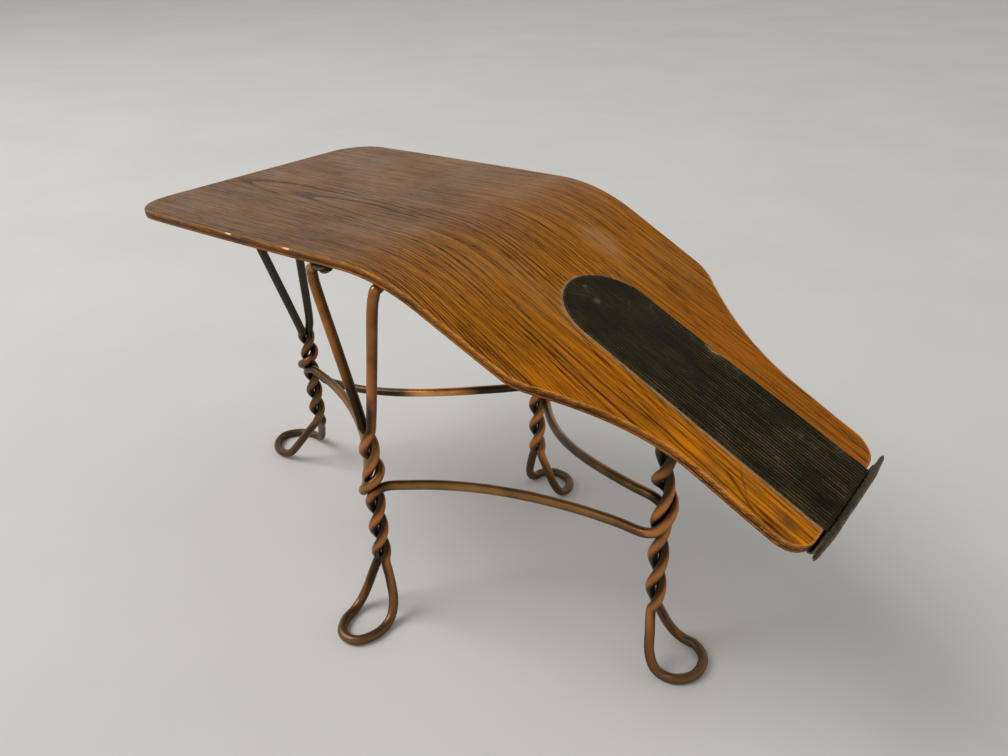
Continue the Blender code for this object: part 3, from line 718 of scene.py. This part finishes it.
def piece(name, points, faces, materials, node, slot, sharp):
    """Visible piece in the place of a CAD node, with edges sharp beyond an angle in degrees."""
    mesh = new_mesh(name, [point + SHIFT for point in points], faces)
    shell = bmesh.new()
    shell.from_mesh(mesh)
    bmesh.ops.recalc_face_normals(shell, faces=shell.faces)
    shell.to_mesh(mesh)
    shell.free()
    for material in materials:
        mesh.materials.append(material)
    mesh.shade_smooth()
    mesh.set_sharp_from_angle(angle=math.radians(sharp))
    item = add(name, mesh)
    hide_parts(node)
    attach(item, "root")
    return item


def point_values(item, name, values):
    attribute = item.data.attributes.new(name, "FLOAT", "POINT")
    attribute.data.foreach_set("value", values)


def plan_map(item, pairs):
    layer = item.data.uv_layers.new(name="plan")
    for loop in item.data.loops:
        layer.data[loop.index].uv = pairs[loop.vertex_index]


def board_stations():
    corner = spread(0.0, QUARTER, CORNER_STEPS)
    stations = [SEAT_CORNER * (1.0 - math.cos(angle)) for angle in corner]
    stations += spread(SEAT_CORNER, SHOULDER_AT - SHOULDER_ROUND, SEAT_STEPS)
    stations += spread(SHOULDER_AT - SHOULDER_ROUND, SHOULDER_AT + SHOULDER_ROUND, SHOULDER_STEPS)
    stations += spread(SHOULDER_AT + SHOULDER_ROUND, BOARD_LENGTH - END_CORNER, NECK_STEPS)
    stations += [BOARD_LENGTH - END_CORNER * (1.0 - math.cos(angle)) for angle in corner]
    ordered = sorted(stations)
    kept = ordered[:1]
    for station in ordered[1:]:
        if station - kept[-1] > CLEARANCE:
            kept.append(station)
    return kept


def across_at(along, column):
    return middle_line(along) + half_width(along) * (2.0 * column / BOARD_COLUMNS - 1.0)


def board_outline(stations):
    """Closed outline of the board as (along, across) pairs, with outward directions."""
    last, side = len(stations) - 1, BOARD_COLUMNS
    keys = [(0, j) for j in range(side)] + [(i, side) for i in range(last)]
    keys += [(last, j) for j in range(side, 0, -1)] + [(i, 0) for i in range(last, 0, -1)]
    places = []
    for i, j in keys:
        across = across_at(stations[i], j)
        places.append((skewed(stations[i], across), across))
    outward = []
    for index in range(len(places)):
        before, after = places[index - 1], places[(index + 1) % len(places)]
        run, rise = after[0] - before[0], after[1] - before[1]
        length = math.hypot(run, rise)
        outward.append((-rise / length, run / length))
    return keys, places, outward


def ring_faces(rows, count):
    """Faces between closed rings of points that follow each other."""
    faces = []
    for row in range(rows - 1):
        start = row * count
        for column in range(count):
            after = (column + 1) % count
            faces.append((start + column, start + after, start + count + after, start + count + column))
    return faces


def capped_faces(rows, count):
    """Faces of a tube of closed rings, with both of its ends."""
    last = (rows - 1) * count
    return ring_faces(rows, count) + [tuple(reversed(range(count))), tuple(range(last, last + count))]


def ply_rings(depth, thickness, top_round, bottom_round):
    """Rings round a ply from its bottom to its top: inset, depth below the board's top, share of wear, which
    also sets the arris's painted highlight.
    """
    bottom = depth + thickness
    rings = [(bottom_round + RIM_BAND, bottom, 0.0)]
    for turn in spread(0.0, QUARTER, 3):
        lift = bottom_round * (1.0 - math.cos(turn))
        rings.append((bottom_round * (1.0 - math.sin(turn)), bottom - lift, 0.0))
    rings.append((0.0, depth + thickness / 2.0, 0.15))
    for turn in spread(QUARTER, 0.0, 3):
        drop = top_round * (1.0 - math.cos(turn))
        rings.append((top_round * (1.0 - math.sin(turn)), depth + drop, 1.0))
    rings.append((top_round + RIM_BAND, depth, 0.0))
    return rings


def chip_at(along, across):
    """Share of a chip at a place on the top ply's arris."""
    if across >= 0.0:
        return 0.0
    return max(max(1.0 - abs(along - spot) / CHIP_REACH for spot in CHIPS), 0.0)


def clear_of_end(distance):
    """Distance from an end of the board for a point inside a ply, clear of the rounded rim."""
    return max(distance, END_CLEAR + 0.1 * distance)


def ply(name, node, slot, depth, thickness, rounds, nick_depth, face, edge):
    """A ply with rounded and slightly chipped edges, mapped along and across the board."""
    stations = board_stations()
    keys, places, outward = board_outline(stations)
    rings = ply_rings(depth, thickness, *rounds)
    points, pairs, worn = [], [], []
    for inset, down, share in rings:
        walked = 0.0
        for index, (along, across) in enumerate(places):
            before = places[index - 1]
            walked += math.hypot(along - before[0], across - before[1])
            nick = max(wobble(walked * 160.0, 2.0) * wobble(walked * 37.0, 5.0) - 0.18, 0.0)
            nick *= share * (0.3 if across > 0.0 else 1.0)
            chipped = chip_at(along, across) if depth == 0.0 and share == 1.0 else 0.0
            nick = (nick + chipped * CHIP_GROWTH) * nick_depth
            along_in = along - outward[index][0] * (inset + nick)
            across_in = across - outward[index][1] * (inset + nick)
            points.append(board_point(along_in, across_in, -down - nick * 0.6))
            pairs.append((along_in, across_in))
            worn.append(share + chipped)
    count, last = len(places), len(rings) - 1
    faces = ring_faces(len(rings), count)
    kinds = [0 if row in (0, last - 1) else 1 for row in range(last) for _ in range(count)]
    for row, down in ((0, depth + thickness), (last, depth)):
        grid = {key: row * count + index for index, key in enumerate(keys)}
        for i in range(1, len(stations) - 1):
            for j in range(1, BOARD_COLUMNS):
                across = across_at(stations[i], j)
                from_end = clear_of_end(BOARD_LENGTH - clear_of_end(stations[i]))
                along = skewed(BOARD_LENGTH - from_end, across)
                grid[(i, j)] = len(points)
                points.append(board_point(along, across, -down))
                pairs.append((along, across))
                worn.append(0.0)
        for i in range(len(stations) - 1):
            for j in range(BOARD_COLUMNS):
                faces.append((grid[(i, j)], grid[(i + 1, j)], grid[(i + 1, j + 1)], grid[(i, j + 1)]))
                kinds.append(0)
    item = piece(name, points, faces, (face, edge), node, slot, 35.0)
    item.data.polygons.foreach_set("material_index", kinds)
    plan_map(item, pairs)
    point_values(item, "edge", worn)


def tread_profile(share):
    """Height of one rib across its spacing, from 0 in the groove to 1 on the crown."""
    return smooth((0.5 - abs(share - 0.5)) / 0.5 * 2.6 - 0.55)


def tread_wear(along, across, beside):
    """Wear of the ribs: on the nose, along the middle, and on a narrow strip at the low end."""
    middle = 1.0 - smooth(abs(beside - MIDDLE_ACROSS) / (TREAD_WIDTH / 2.0 * 1.05))
    wear = 0.86 * smooth((NOSE_WORN_TO - along) / NOSE_WEAR_FADE)
    wear += 0.38 * middle * smooth((MIDDLE_WORN_TO - along) / MIDDLE_WEAR_FADE)
    wear += smooth((along - RUBBED_FROM + across * RUBBED_SLANT) / RUBBED_FADE)
    return min(max(wear + 0.10 * wobble(along * 60.0 + across * 40.0, 3.0), 0.0), 0.93)


def tread(material):
    """Mat with fine ribs along it, worn down towards its upper end and its middle."""
    columns, rows = TREAD_RIBS * RIB_COLUMNS, TREAD_ROWS
    half = TREAD_WIDTH / 2.0
    points, pairs, wears, crowns, rims = [], [], [], [], []
    for row in range(rows + 1):
        share = (row / rows) ** 1.15
        for column in range(columns + 1):
            beside = half * (2.0 * column / columns - 1.0)
            across = beside + TREAD_OFFSET
            nose = TREAD_NOSE * (1.0 - math.sqrt(max(1.0 - (beside / half) ** 2, 0.0)))
            along = skewed(mix(TREAD_START + nose, BOARD_LENGTH + TREAD_OVERHANG, share), across)
            along += share ** 30 * TREAD_END_WOBBLE * wobble(across * 500.0, 6.0)
            torn = max(1.0 - abs(along - TEAR_AT) / TEAR_HALF_LENGTH, 0.0)
            torn *= max((beside - half + TEAR_REACH) / TEAR_REACH, 0.0)
            wear = tread_wear(along, across, beside)
            across -= (TEAR_DEPTH + TEAR_FRAY * wobble(along * 2400.0, 2.0)) * torn
            crown = tread_profile((column / columns * TREAD_RIBS) % 1.0)
            edge = min(half - abs(beside), along - TREAD_START - nose + 0.0003)
            height = TREAD_THICKNESS - RIB_DEPTH * (1.0 - wear) * (1.0 - crown) - WORN_DEPTH * wear
            height -= RIM_DROP * (1.0 - smooth(edge / RIM_ROUND))
            points.append(board_point(along, across, height))
            pairs.append((along, across))
            wears.append(wear)
            crowns.append(crown)
            rims.append(max(0.25 * (1.0 - smooth(edge / DUSTY_RIM)), smooth(torn * 1.6)))
    faces = []
    width = columns + 1
    for row in range(rows):
        for column in range(columns):
            start = row * width + column
            faces.append((start, start + 1, start + width + 1, start + width))
    border = list(range(width)) + [row * width + columns for row in range(1, rows + 1)]
    border += [rows * width + column for column in range(columns - 1, -1, -1)]
    border += [row * width for row in range(rows - 1, 0, -1)]
    shift, count = len(points), len(border)
    for index in border:
        points.append(board_point(*pairs[index], CLEARANCE))
        pairs.append(pairs[index])
    wears += [0.0] * count
    crowns += [0.0] * count
    rims += [0.35] * count
    for step in range(count):
        after = (step + 1) % count
        faces.append((border[step], border[after], shift + after, shift + step))
    faces.append(tuple(range(shift, shift + count)))
    item = piece("tread", points, faces, (material,), "rubber_tread", "rubber", 60.0)
    plan_map(item, pairs)
    point_values(item, "wear", wears)
    point_values(item, "crown", crowns)
    point_values(item, "rim", rims)


def lip_top(across):
    share = (abs(across) - LIP_WIDTH / 2.0) / ((WING_SPAN - LIP_WIDTH) / 2.0)
    return mix(LIP_HEIGHT, WING_TIP, min(max(share, 0.0), 1.0))


def heel_profile():
    """Inner face of the heel plate up to its lip: distances along the board and above its top."""
    under = -BOARD_THICKNESS - CLEARANCE
    bend_at = BOARD_LENGTH + WALL_GAP - WALL_BEND
    flare_at = BOARD_LENGTH + WALL_GAP + FLARE_BEND
    profile = [(along, under) for along in spread(BOARD_LENGTH - TONGUE_LENGTH, BOARD_LENGTH - 0.002, 4)]
    for angle in spread(0.0, QUARTER, 6):
        profile.append((bend_at + WALL_BEND * math.sin(angle), under + WALL_BEND * (1.0 - math.cos(angle))))
    for angle in spread(0.0, QUARTER - LIP_ANGLE, 5):
        profile.append((flare_at - FLARE_BEND * math.cos(angle), FLARE_START + FLARE_BEND * math.sin(angle)))
    return profile


def lip_place(across, share, foot, base):
    """Place on the flared lip at a share of its height: along, across and above the board's top."""
    up = lip_top(across) * share
    tip = max((abs(across) - WING_SPAN / 2.0 + WING_ROUND) / WING_ROUND, 0.0)
    up = mix(up, WING_TIP * 0.62, tip ** 3 * 0.8)
    up += share * LIP_BATTER * wobble(across * 80.0, 4.0)
    return skewed(foot + up * math.cos(LIP_ANGLE), across), across, base + up * math.sin(LIP_ANGLE)


def heel_plate(material):
    """Sheet with a tongue, a wall and a flared lip, its edges softened and slightly battered."""
    middle = spread(-TONGUE_WIDTH / 2.0, TONGUE_WIDTH / 2.0, TONGUE_STEPS)
    wing = spread(TONGUE_WIDTH / 2.0, WING_SPAN / 2.0, WING_STEPS)[1:]
    columns = [-across for across in reversed(wing)] + middle + wing
    *rows, lip_foot = heel_profile()
    sheet = [[(skewed(along, across), across, above) for across in middle] for along, above in rows]
    for share in spread(0.0, 1.0, LIP_STEPS):
        sheet.append([lip_place(across, share, *lip_foot) for across in columns])
    points = [board_point(*place) for row in sheet for place in row]
    faces, start = [], 0
    for lower, upper in zip(sheet, sheet[1:]):
        after = start + len(lower) + (len(upper) - len(lower)) // 2
        for step in range(len(lower) - 1):
            faces.append((start + step, start + step + 1, after + step + 1, after + step))
        start += len(lower)
    mesh = new_mesh("sheet", points, faces)
    normals = [vertex.normal.copy() for vertex in mesh.vertices]
    bpy.data.meshes.remove(mesh)
    sign = 1.0 if normals[0].z > 0.0 else -1.0
    edges = {(start, end) for face in faces for start, end in zip(face, face[1:] + face[:1])}
    rim = {index for start, end in edges if (end, start) not in edges for index in (start, end)}
    shift = len(points)
    below = [point - normal * sign * PLATE for point, normal in zip(points, normals)]
    skin = list(faces) + [tuple(index + shift for index in reversed(face)) for face in faces]
    for start, end in sorted(edges):
        if (end, start) not in edges:
            skin.append((end, start, start + shift, end + shift))
    item = piece("heel_sheet", points + below, skin, (material,), "heel_plate", "heel_steel", 30.0)
    # Rubbed outline of the sheet, and a painted highlight on the row where the lip flares
    crease_at = len(rows) * len(middle)
    crease = range(crease_at, crease_at + len(columns))
    bright = [index % shift in rim or index in crease for index in range(2 * shift)]
    point_values(item, "edge", [float(value) for value in bright])
    bevel = item.modifiers.new("soft_edges", "BEVEL")
    bevel.width = PLATE_BEVEL
    bevel.segments = 2
    bevel.limit_method = "ANGLE"
    bevel.angle_limit = math.radians(50.0)


def turned(foot, axis, profile):
    side = axis.orthogonal().normalized()
    across = axis.cross(side)
    points = []
    for distance, radius in profile:
        for step in range(SCREW_SIDES):
            angle = TURN * step / SCREW_SIDES
            spoke = side * math.cos(angle) + across * math.sin(angle)
            points.append(foot + axis * distance + spoke * radius)
    return points, capped_faces(len(profile), SCREW_SIDES)


def slotted_screw(node, slot, along, across, shape, turn, material):
    """Turned screw up into the board, with a slot sawn across its head."""
    profile, top, head = shape
    foot, axis = board_point(along, across), -board_normal(along)
    item = piece(node + "_look", *turned(foot, axis, profile), (material,), node, slot, 35.0)
    side = Quaternion(axis, turn) @ axis.orthogonal().normalized()
    beside = axis.cross(side)
    corners = []
    for far in (-1.3 * head, 1.3 * head):
        for wide in (-0.13 * head, 0.13 * head):
            for deep in (-0.38 * head, 0.9 * head):
                corners.append(foot + SHIFT + axis * (top + deep) + side * far + beside * wide)
    sides = [(0, 1, 3, 2), (4, 6, 7, 5), (0, 4, 5, 1), (2, 3, 7, 6), (0, 2, 6, 4), (1, 5, 7, 3)]
    saw = add(node + "_slot", new_mesh(node + "_slot", corners, sides))
    cut = item.modifiers.new("slot", "BOOLEAN")
    cut.operation = "DIFFERENCE"
    cut.solver = "EXACT"
    cut.object = saw
    bpy.context.view_layer.update()
    shaped = bpy.data.meshes.new_from_object(item.evaluated_get(bpy.context.evaluated_depsgraph_get()))
    item.modifiers.clear()
    item.data = shaped
    bpy.data.objects.remove(saw, do_unlink=True)
    shaped.set_sharp_from_angle(angle=math.radians(35.0))


# Wire frame


def heading(vector):
    return math.atan2(vector.y, vector.x)


class Leg:
    """One leg: where it stands, and how its three strands wind round it."""

    def __init__(self, name, out, distance, pitch, crotch, own_spread, foot_size):
        self.name = name
        self.out = Vector((*out, 0.0))
        self.round = Vector((-out[1], out[0], 0.0))
        self.pitch = pitch
        self.crotch = crotch
        self.own_spread = own_spread
        self.reach, self.foot_width, toe_out = foot_size
        self.foot_turn = Quaternion((0.0, 0.0, 1.0), math.radians(toe_out))
        self.foot = Vector((FRAME_CENTRE, 0.0, 0.0)) + self.out * distance
        self.foot_shape = SPLAYED_SHAPE if name == "high" else FOOT_SHAPE

    def wind(self, leave_heading, arrive_heading):
        bearing = heading(self.out)
        self.leave_angle = leave_heading - QUARTER
        self.arrive_angle = arrive_heading - QUARTER
        lower = ((self.leave_angle - (bearing - QUARTER)) % TURN) / TURN + 1.0
        upper = ((bearing + QUARTER - self.leave_angle) % TURN) / TURN + 1.0
        self.leave = self.crotch + self.pitch * lower
        self.fork = self.leave + self.pitch * upper
        behind = (self.leave_angle - self.arrive_angle) % TURN - QUARTER
        self.arrive = self.leave - self.pitch * behind / TURN
        self.groove = self.groove_radius()

    def groove_radius(self):
        """Radius at which the guest strand just clears the two that it lies between."""
        rises = spread(-self.pitch / 2.0, self.pitch / 2.0, 60)

        def too_close(radius):
            lying = self.strand(self.leave, -QUARTER, radius)
            least = min((self.strand(self.leave + rise, 0.0) - lying).length for rise in rises)
            return least < WIRE + STRAND_GAP

        return halved(STRAND_RADIUS, 4.0 * STRAND_RADIUS, too_close)

    def at(self, outward, sideways, height):
        return self.foot + self.out * outward + self.round * sideways + Vector((0.0, 0.0, height))

    def strand(self, height, turn, radius=STRAND_RADIUS):
        angle = self.leave_angle + TURN * (height - self.leave) / self.pitch + turn
        return self.foot + Vector((radius * math.cos(angle), radius * math.sin(angle), height))

    def twist(self, start, end, turn):
        steps = max(2, round(abs(end - start) / self.pitch * RINGS_PER_TURN))
        return [self.strand(height, turn) for height in spread(start, end, steps)[1:]]

    def guest(self):
        steps = round((self.fork - self.arrive) / self.pitch * RINGS_PER_TURN)
        points = []
        for height in spread(self.arrive, self.fork, steps):
            climbed = (height - self.leave) / self.pitch
            settled = smooth((climbed - GROOVE_HOLD) / GROOVE_SETTLE)
            radius = mix(self.groove, STRAND_RADIUS, settled)
            points.append(self.strand(height, mix(-QUARTER, 0.0, settled), radius))
        return points

    def loop(self):
        drop = self.crotch - FLAT_RADIUS
        half = self.foot_width / 2.0
        down = []
        for outward, sideways, height in self.foot_shape:
            down.append((outward * self.reach, sideways * half, FLAT_RADIUS + height * drop))
        up = [(outward, -sideways, height) for outward, sideways, height in reversed(down)]
        points = [self.at(*point) for point in (*down, (self.reach, 0.0, FLAT_RADIUS), *up)]
        return [self.foot + self.foot_turn @ (point - self.foot) for point in points]


def make_legs():
    legs = [Leg(*sizes) for sizes in LEG_SIZES]
    for index, leg in enumerate(legs):
        before = leg.foot - legs[index - 1].foot
        after = legs[(index + 1) % len(legs)].foot - leg.foot
        bow = 2.0 * math.atan(2.0 * STRETCHER_BOW / after.length)
        leg.wind(heading(after) + bow, heading(before) - bow)
    return legs


def strut(leg, side, sideways, eye_heading):
    """Points of a strut from its fork to the end of its eye, and where the eye's screw goes."""
    depth = BOARD_THICKNESS + CLEARANCE + FLAT_RADIUS
    eye_depth = BOARD_THICKNESS + CLEARANCE + EYE_THICKNESS / 2.0
    top = leg.at(STRUT_OUTSET, side * sideways, 0.0)
    knee_along = along_at(top.x, -depth)

    def eye_place(distance):
        return knee_along + eye_heading.x * distance, top.y + eye_heading.y * distance

    def under(distance, below):
        return board_point(*eye_place(distance), -below)

    knee = under(0.0, depth)
    fork = leg.at(0.0, side * STRAND_RADIUS, leg.fork)
    start = leg.at(0.0, side * (STRAND_RADIUS + 0.25 * WIRE), leg.fork + WIRE)
    direction = (knee - start).normalized()
    before = knee - direction * 1.6 * WIRE
    after = under(EYE_LENGTH * 0.29, depth)
    middle = before * 0.25 + knee * 0.5 + after * 0.25
    flat_start = EYE_LENGTH * 0.47
    points = [fork, start, start.lerp(before, 0.5), before, before.lerp(middle, 0.5), middle]
    points += [middle.lerp(after, 0.5), after]
    points += [under(mix(flat_start, EYE_LENGTH, share), eye_depth) for share in (0.0, 0.35, 0.7, 0.9, 1.0)]
    return points, *eye_place(EYE_LENGTH - EYE_SCREW_INSET)


def stretcher(leg, following):
    start_angle, end_angle = leg.leave_angle, following.arrive_angle
    start = leg.strand(leg.leave, 0.0)
    end = following.strand(following.arrive, -QUARTER, following.groove)
    out_way = Vector((-math.sin(start_angle), math.cos(start_angle), 0.0))
    in_way = Vector((-math.sin(end_angle), math.cos(end_angle), 0.0))
    first = start + out_way * STRETCHER_LEAD + Vector((0.0, 0.0, STRETCHER_RISE))
    last = end - in_way * STRETCHER_LEAD - Vector((0.0, 0.0, STRETCHER_RISE))
    run = Vector((last.x - first.x, last.y - first.y)).length
    points = []
    for share in spread(0.0, 1.0, STRETCHER_RINGS):
        ease_out = share * (1.0 - share) ** 2
        ease_in = share * share * (1.0 - share)
        points.append(first.lerp(last, smooth(share)) + out_way * run * ease_out - in_way * run * ease_in)
    return points


def wire_route(leg, following):
    own, *own_eye = strut(leg, -1.0, leg.own_spread, leg.round)
    guest, *guest_eye = strut(following, 1.0, GUEST_SPREAD, -following.out)
    route = list(reversed(own)) + leg.twist(leg.fork, leg.crotch, math.pi)
    route += leg.loop() + [leg.strand(leg.crotch, 0.0)]
    route += leg.twist(leg.crotch, leg.leave, 0.0) + stretcher(leg, following)
    route += following.guest()[:-1] + guest
    return route, own_eye, guest_eye


def spline(points, substeps):
    """Smooth curve through points, with knots spaced by the root of their distance."""
    padded = [points[0] * 2.0 - points[1], *points, points[-1] * 2.0 - points[-2]]
    spans = [math.sqrt((after - before).length) for before, after in zip(padded, padded[1:])]
    curve = [points[0].copy()]
    for index, (start, end) in enumerate(zip(points, points[1:])):
        before, after = padded[index], padded[index + 3]
        first, middle, last = spans[index:index + 3]
        leave = end - start + ((start - before) / first - (end - before) / (first + middle)) * middle
        arrive = end - start + ((after - end) / last - (after - start) / (middle + last)) * middle
        curve += interpolate_bezier(start, start + leave / 3.0, end - arrive / 3.0, end, substeps + 1)[1:]
    return curve


def wire(name, route, ends, axes, material):
    """Smooth round wire, flattened at both ends; its crown values paint highlights on the upper and outer
    faces and shade in the crevices of the twists.
    """
    points = spline(route, WIRE_SUBSTEPS)
    count = len(points)
    neighbours = zip(points[:1] + points, points[1:] + points[-1:])
    tangents = [(after - before).normalized() for before, after in neighbours]
    normals = [tangents[0].orthogonal().normalized()]
    for before, after in zip(tangents, tangents[1:]):
        normals.append(before.rotation_difference(after) @ normals[-1])
    walked = [0.0]
    for before, after in zip(points, points[1:]):
        walked.append(walked[-1] + (after - before).length)
    level, middle = Vector((1.0, 1.0, 0.0)), Vector((FRAME_CENTRE, 0.0, 0.0))
    skin, crowns, levels = [], [], []
    for index, point in enumerate(points):
        away = min(((point - axis) * level for axis in axes), key=lambda item: item.length)
        free = smooth((away.length - TWISTED_WITHIN) / (FREE_BEYOND - TWISTED_WITHIN))
        from_axis, from_middle = away.normalized(), ((point - middle) * level).normalized()
        from_end = min(walked[index], walked[-1] - walked[index])
        flat = smooth((EYE_LENGTH * 0.70 - from_end) / (EYE_LENGTH * 0.17))
        up = ends[0] if index < count / 2.0 else ends[1]
        tip = math.sqrt(max(1.0 - max(1.0 - from_end / (EYE_WIDTH / 2.0), 0.0) ** 2, 0.03))
        high = mix(1.0, EYE_THICKNESS / WIRE, flat)
        wide = mix(1.0, EYE_WIDTH / WIRE * tip, flat)
        radius = WIRE / 2.0 * (0.998 + 0.010 * wobble(walked[index] * 70.0, 0.0))
        for step in range(WIRE_SIDES):
            spoke = Quaternion(tangents[index], TURN * step / WIRE_SIDES) @ normals[index] * radius
            rise = up * spoke.dot(up)
            spot = point + (spoke - rise) * wide + rise * high
            spot.z = max(spot.z, 0.0)
            skin.append(spot)
            way = spoke.normalized()
            # Painted light: the outer faces of twisted strands and the upper, outward faces of free wire are
            # lit, and the crevices are shaded
            ridge = max(0.90 * way.dot(from_axis) + 0.25 * way.z, 0.0) ** 1.7
            crown = mix(ridge, 0.35 + 0.25 * way.z + 0.38 * way.dot(from_middle), free)
            # Eyes under the board get painted shade
            crowns.append(mix(crown, -0.3, flat))
            levels.append(free * (1.0 - abs(tangents[index].z)) ** 2)
    faces = capped_faces(count, WIRE_SIDES)
    item = piece(name + "_wire", skin, faces, (material,), name + "_leg_wire", "copper_wire", 60.0)
    point_values(item, "crown", crowns)
    point_values(item, "level", levels)


def dome_shape():
    """Profile of a round-headed screw, the height of its top and the radius of its head."""
    seat = BOARD_THICKNESS + 2.0 * CLEARANCE + EYE_THICKNESS
    tip = VENEER + CLEARANCE
    profile = [(tip, 0.4 * STRUT_SCREW_SHANK), (tip + SCREW_POINT, STRUT_SCREW_SHANK)]
    profile += [(seat, STRUT_SCREW_SHANK), (seat, STRUT_SCREW_HEAD)]
    for angle in spread(0.0, math.radians(84.0), 7)[1:]:
        profile.append((seat + STRUT_SCREW_DOME * math.sin(angle), STRUT_SCREW_HEAD * math.cos(angle)))
    return profile, seat + STRUT_SCREW_DOME, STRUT_SCREW_HEAD


def countersunk_shape():
    """Profile of a countersunk screw, the height of its top and the radius of its head."""
    top = BOARD_THICKNESS + CLEARANCE + PLATE
    shank, head = HEEL_SCREW_SHANK, HEEL_SCREW_HEAD
    tip, crown = VENEER + CLEARANCE, top + HEEL_SCREW_CROWN
    profile = [(tip, shank * 0.3), (tip + SCREW_POINT, shank), (top - head + shank, shank)]
    profile += [(top, head), (top + HEEL_SCREW_CHAMFER, head * 0.75), (crown, head * 0.3)]
    return profile, crown, head


def wire_frame(steel):
    legs = make_legs()
    far_leg, high_leg = legs[2], legs[3]
    back = stretcher(far_leg, high_leg)
    # Place of the bare copper's painted highlight on the back stretcher
    bare_highlight_spot = back[3].lerp(back[4], 0.85) + SHIFT
    copper = aged_copper(bare_highlight_spot)
    shape = dome_shape()
    for index, leg in enumerate(legs):
        following = legs[(index + 1) % len(legs)]
        route, own_eye, guest_eye = wire_route(leg, following)
        ends = (board_normal(own_eye[0]), board_normal(guest_eye[0]))
        wire(leg.name, route, ends, (leg.foot, following.foot), copper)
        slotted_screw(leg.name + "_own_screw", "strut_screw", *own_eye, shape, 0.6 + index, steel)
        slotted_screw(following.name + "_guest_screw", "strut_screw", *guest_eye, shape, 1.9 + index, steel)


def heel_screws(material):
    shape = countersunk_shape()
    for side, place, turn in (("near", -0.5, 0.4), ("far", 0.5, 1.7)):
        across = place * HEEL_SCREW_SPACING
        along = skewed(BOARD_LENGTH - HEEL_SCREW_INSET, across)
        slotted_screw("heel_screw_" + side, "heel_screw", along, across, shape, turn, material)


# Stage, light and camera


def stage():
    near = [(-FLOOR_SIDE, -FLOOR_SIDE, 0.0), (FLOOR_SIDE, -FLOOR_SIDE, 0.0)]
    back = [(FLOOR_SIDE, FLOOR_BACK, 0.0), (-FLOOR_SIDE, FLOOR_BACK, 0.0)]
    mesh = new_mesh("floor", near + back, [(0, 1, 2, 3)])
    floor = Shader("pale_floor")
    cloud = floor.place().noise(2.2, 5.0, 0.6)
    floor.colour = floor.blend(cloud.span(0.3, 0.7), tone(212, 211, 209), tone(217, 216, 214))
    mesh.materials.append(floor.finish(0.85))
    item = add("floor", mesh)


def key_light():
    data = bpy.data.lights.new("key", "AREA")
    data.size = KEY_SIZE
    data.energy = KEY_POWER
    data.color = (1.0, 0.98, 0.95)
    item = add("key", data)
    item.location = KEY_PLACE
    item.rotation_euler = (KEY_TARGET - KEY_PLACE).to_track_quat("-Z", "Y").to_euler()


def surround():
    """Pale surround that is brightest near the horizon."""
    sky = Shader("studio", "worlds", "Background")
    _, _, high = sky.node("ShaderNodeTexCoord", output="Generated").parts()
    strength = high.span(0.10, 0.60, HORIZON_LIGHT, ZENITH_LIGHT, "LINEAR")
    sky.put(sky.surface.inputs["Strength"], strength)
    sky.put(sky.surface.inputs["Color"], (1.0, 0.99, 0.98, 1.0))
    bpy.context.scene.world = sky.owner


def camera():
    data = bpy.data.cameras.new("camera")
    data.sensor_width = SENSOR_WIDTH
    data.sensor_fit = "HORIZONTAL"
    data.lens = CAMERA_LENS
    data.clip_start = 0.01
    item = add("camera", data)
    turn = Matrix.Rotation(-CAMERA_YAW, 4, "Z")
    turn @= Matrix.Rotation(QUARTER - CAMERA_PITCH, 4, "X")
    turn @= Matrix.Rotation(CAMERA_ROLL, 4, "Z")
    item.matrix_world = Matrix.Translation(CAMERA_PLACE + SHIFT) @ turn
    bpy.context.scene.camera = item


def main():
    bpy.context.scene.view_settings.view_transform = "Standard"
    face, under = oak_top(), oak_under()
    edge = ply_edge("ply_edge", tone(146, 88, 18), tone(70, 38, 7), 0.55)
    core_edge = ply_edge("core_edge", tone(84, 46, 10), tone(42, 22, 5), 0.25)
    soft, sawn = SOFT_EDGE, SAWN_EDGE
    core_at, under_at = VENEER + CLEARANCE, VENEER + CORE + 2.0 * CLEARANCE
    ply("seat_top", "top_veneer", "oak_top", 0.0, VENEER, (soft, sawn), TOP_NICK, face, edge)
    ply("seat_core", "core_ply", "oak_core", core_at, CORE, (sawn, sawn), LOWER_NICK, under, core_edge)
    ply("seat_under", "under_veneer", "oak_under", under_at, VENEER, (sawn, soft), LOWER_NICK, under, edge)
    tread(worn_rubber())
    heel_plate(aged_steel("heel_steel", tone(92, 79, 57), tone(48, 40, 27), tone(74, 55, 35)))
    heel_screws(aged_steel("heel_screw_steel", tone(150, 144, 128), tone(84, 78, 66), tone(90, 66, 44)))
    wire_frame(aged_steel("screw_steel", tone(150, 124, 84), tone(84, 64, 40), tone(84, 56, 34)))
    stage()
    surround()
    key_light()
    camera()


main()
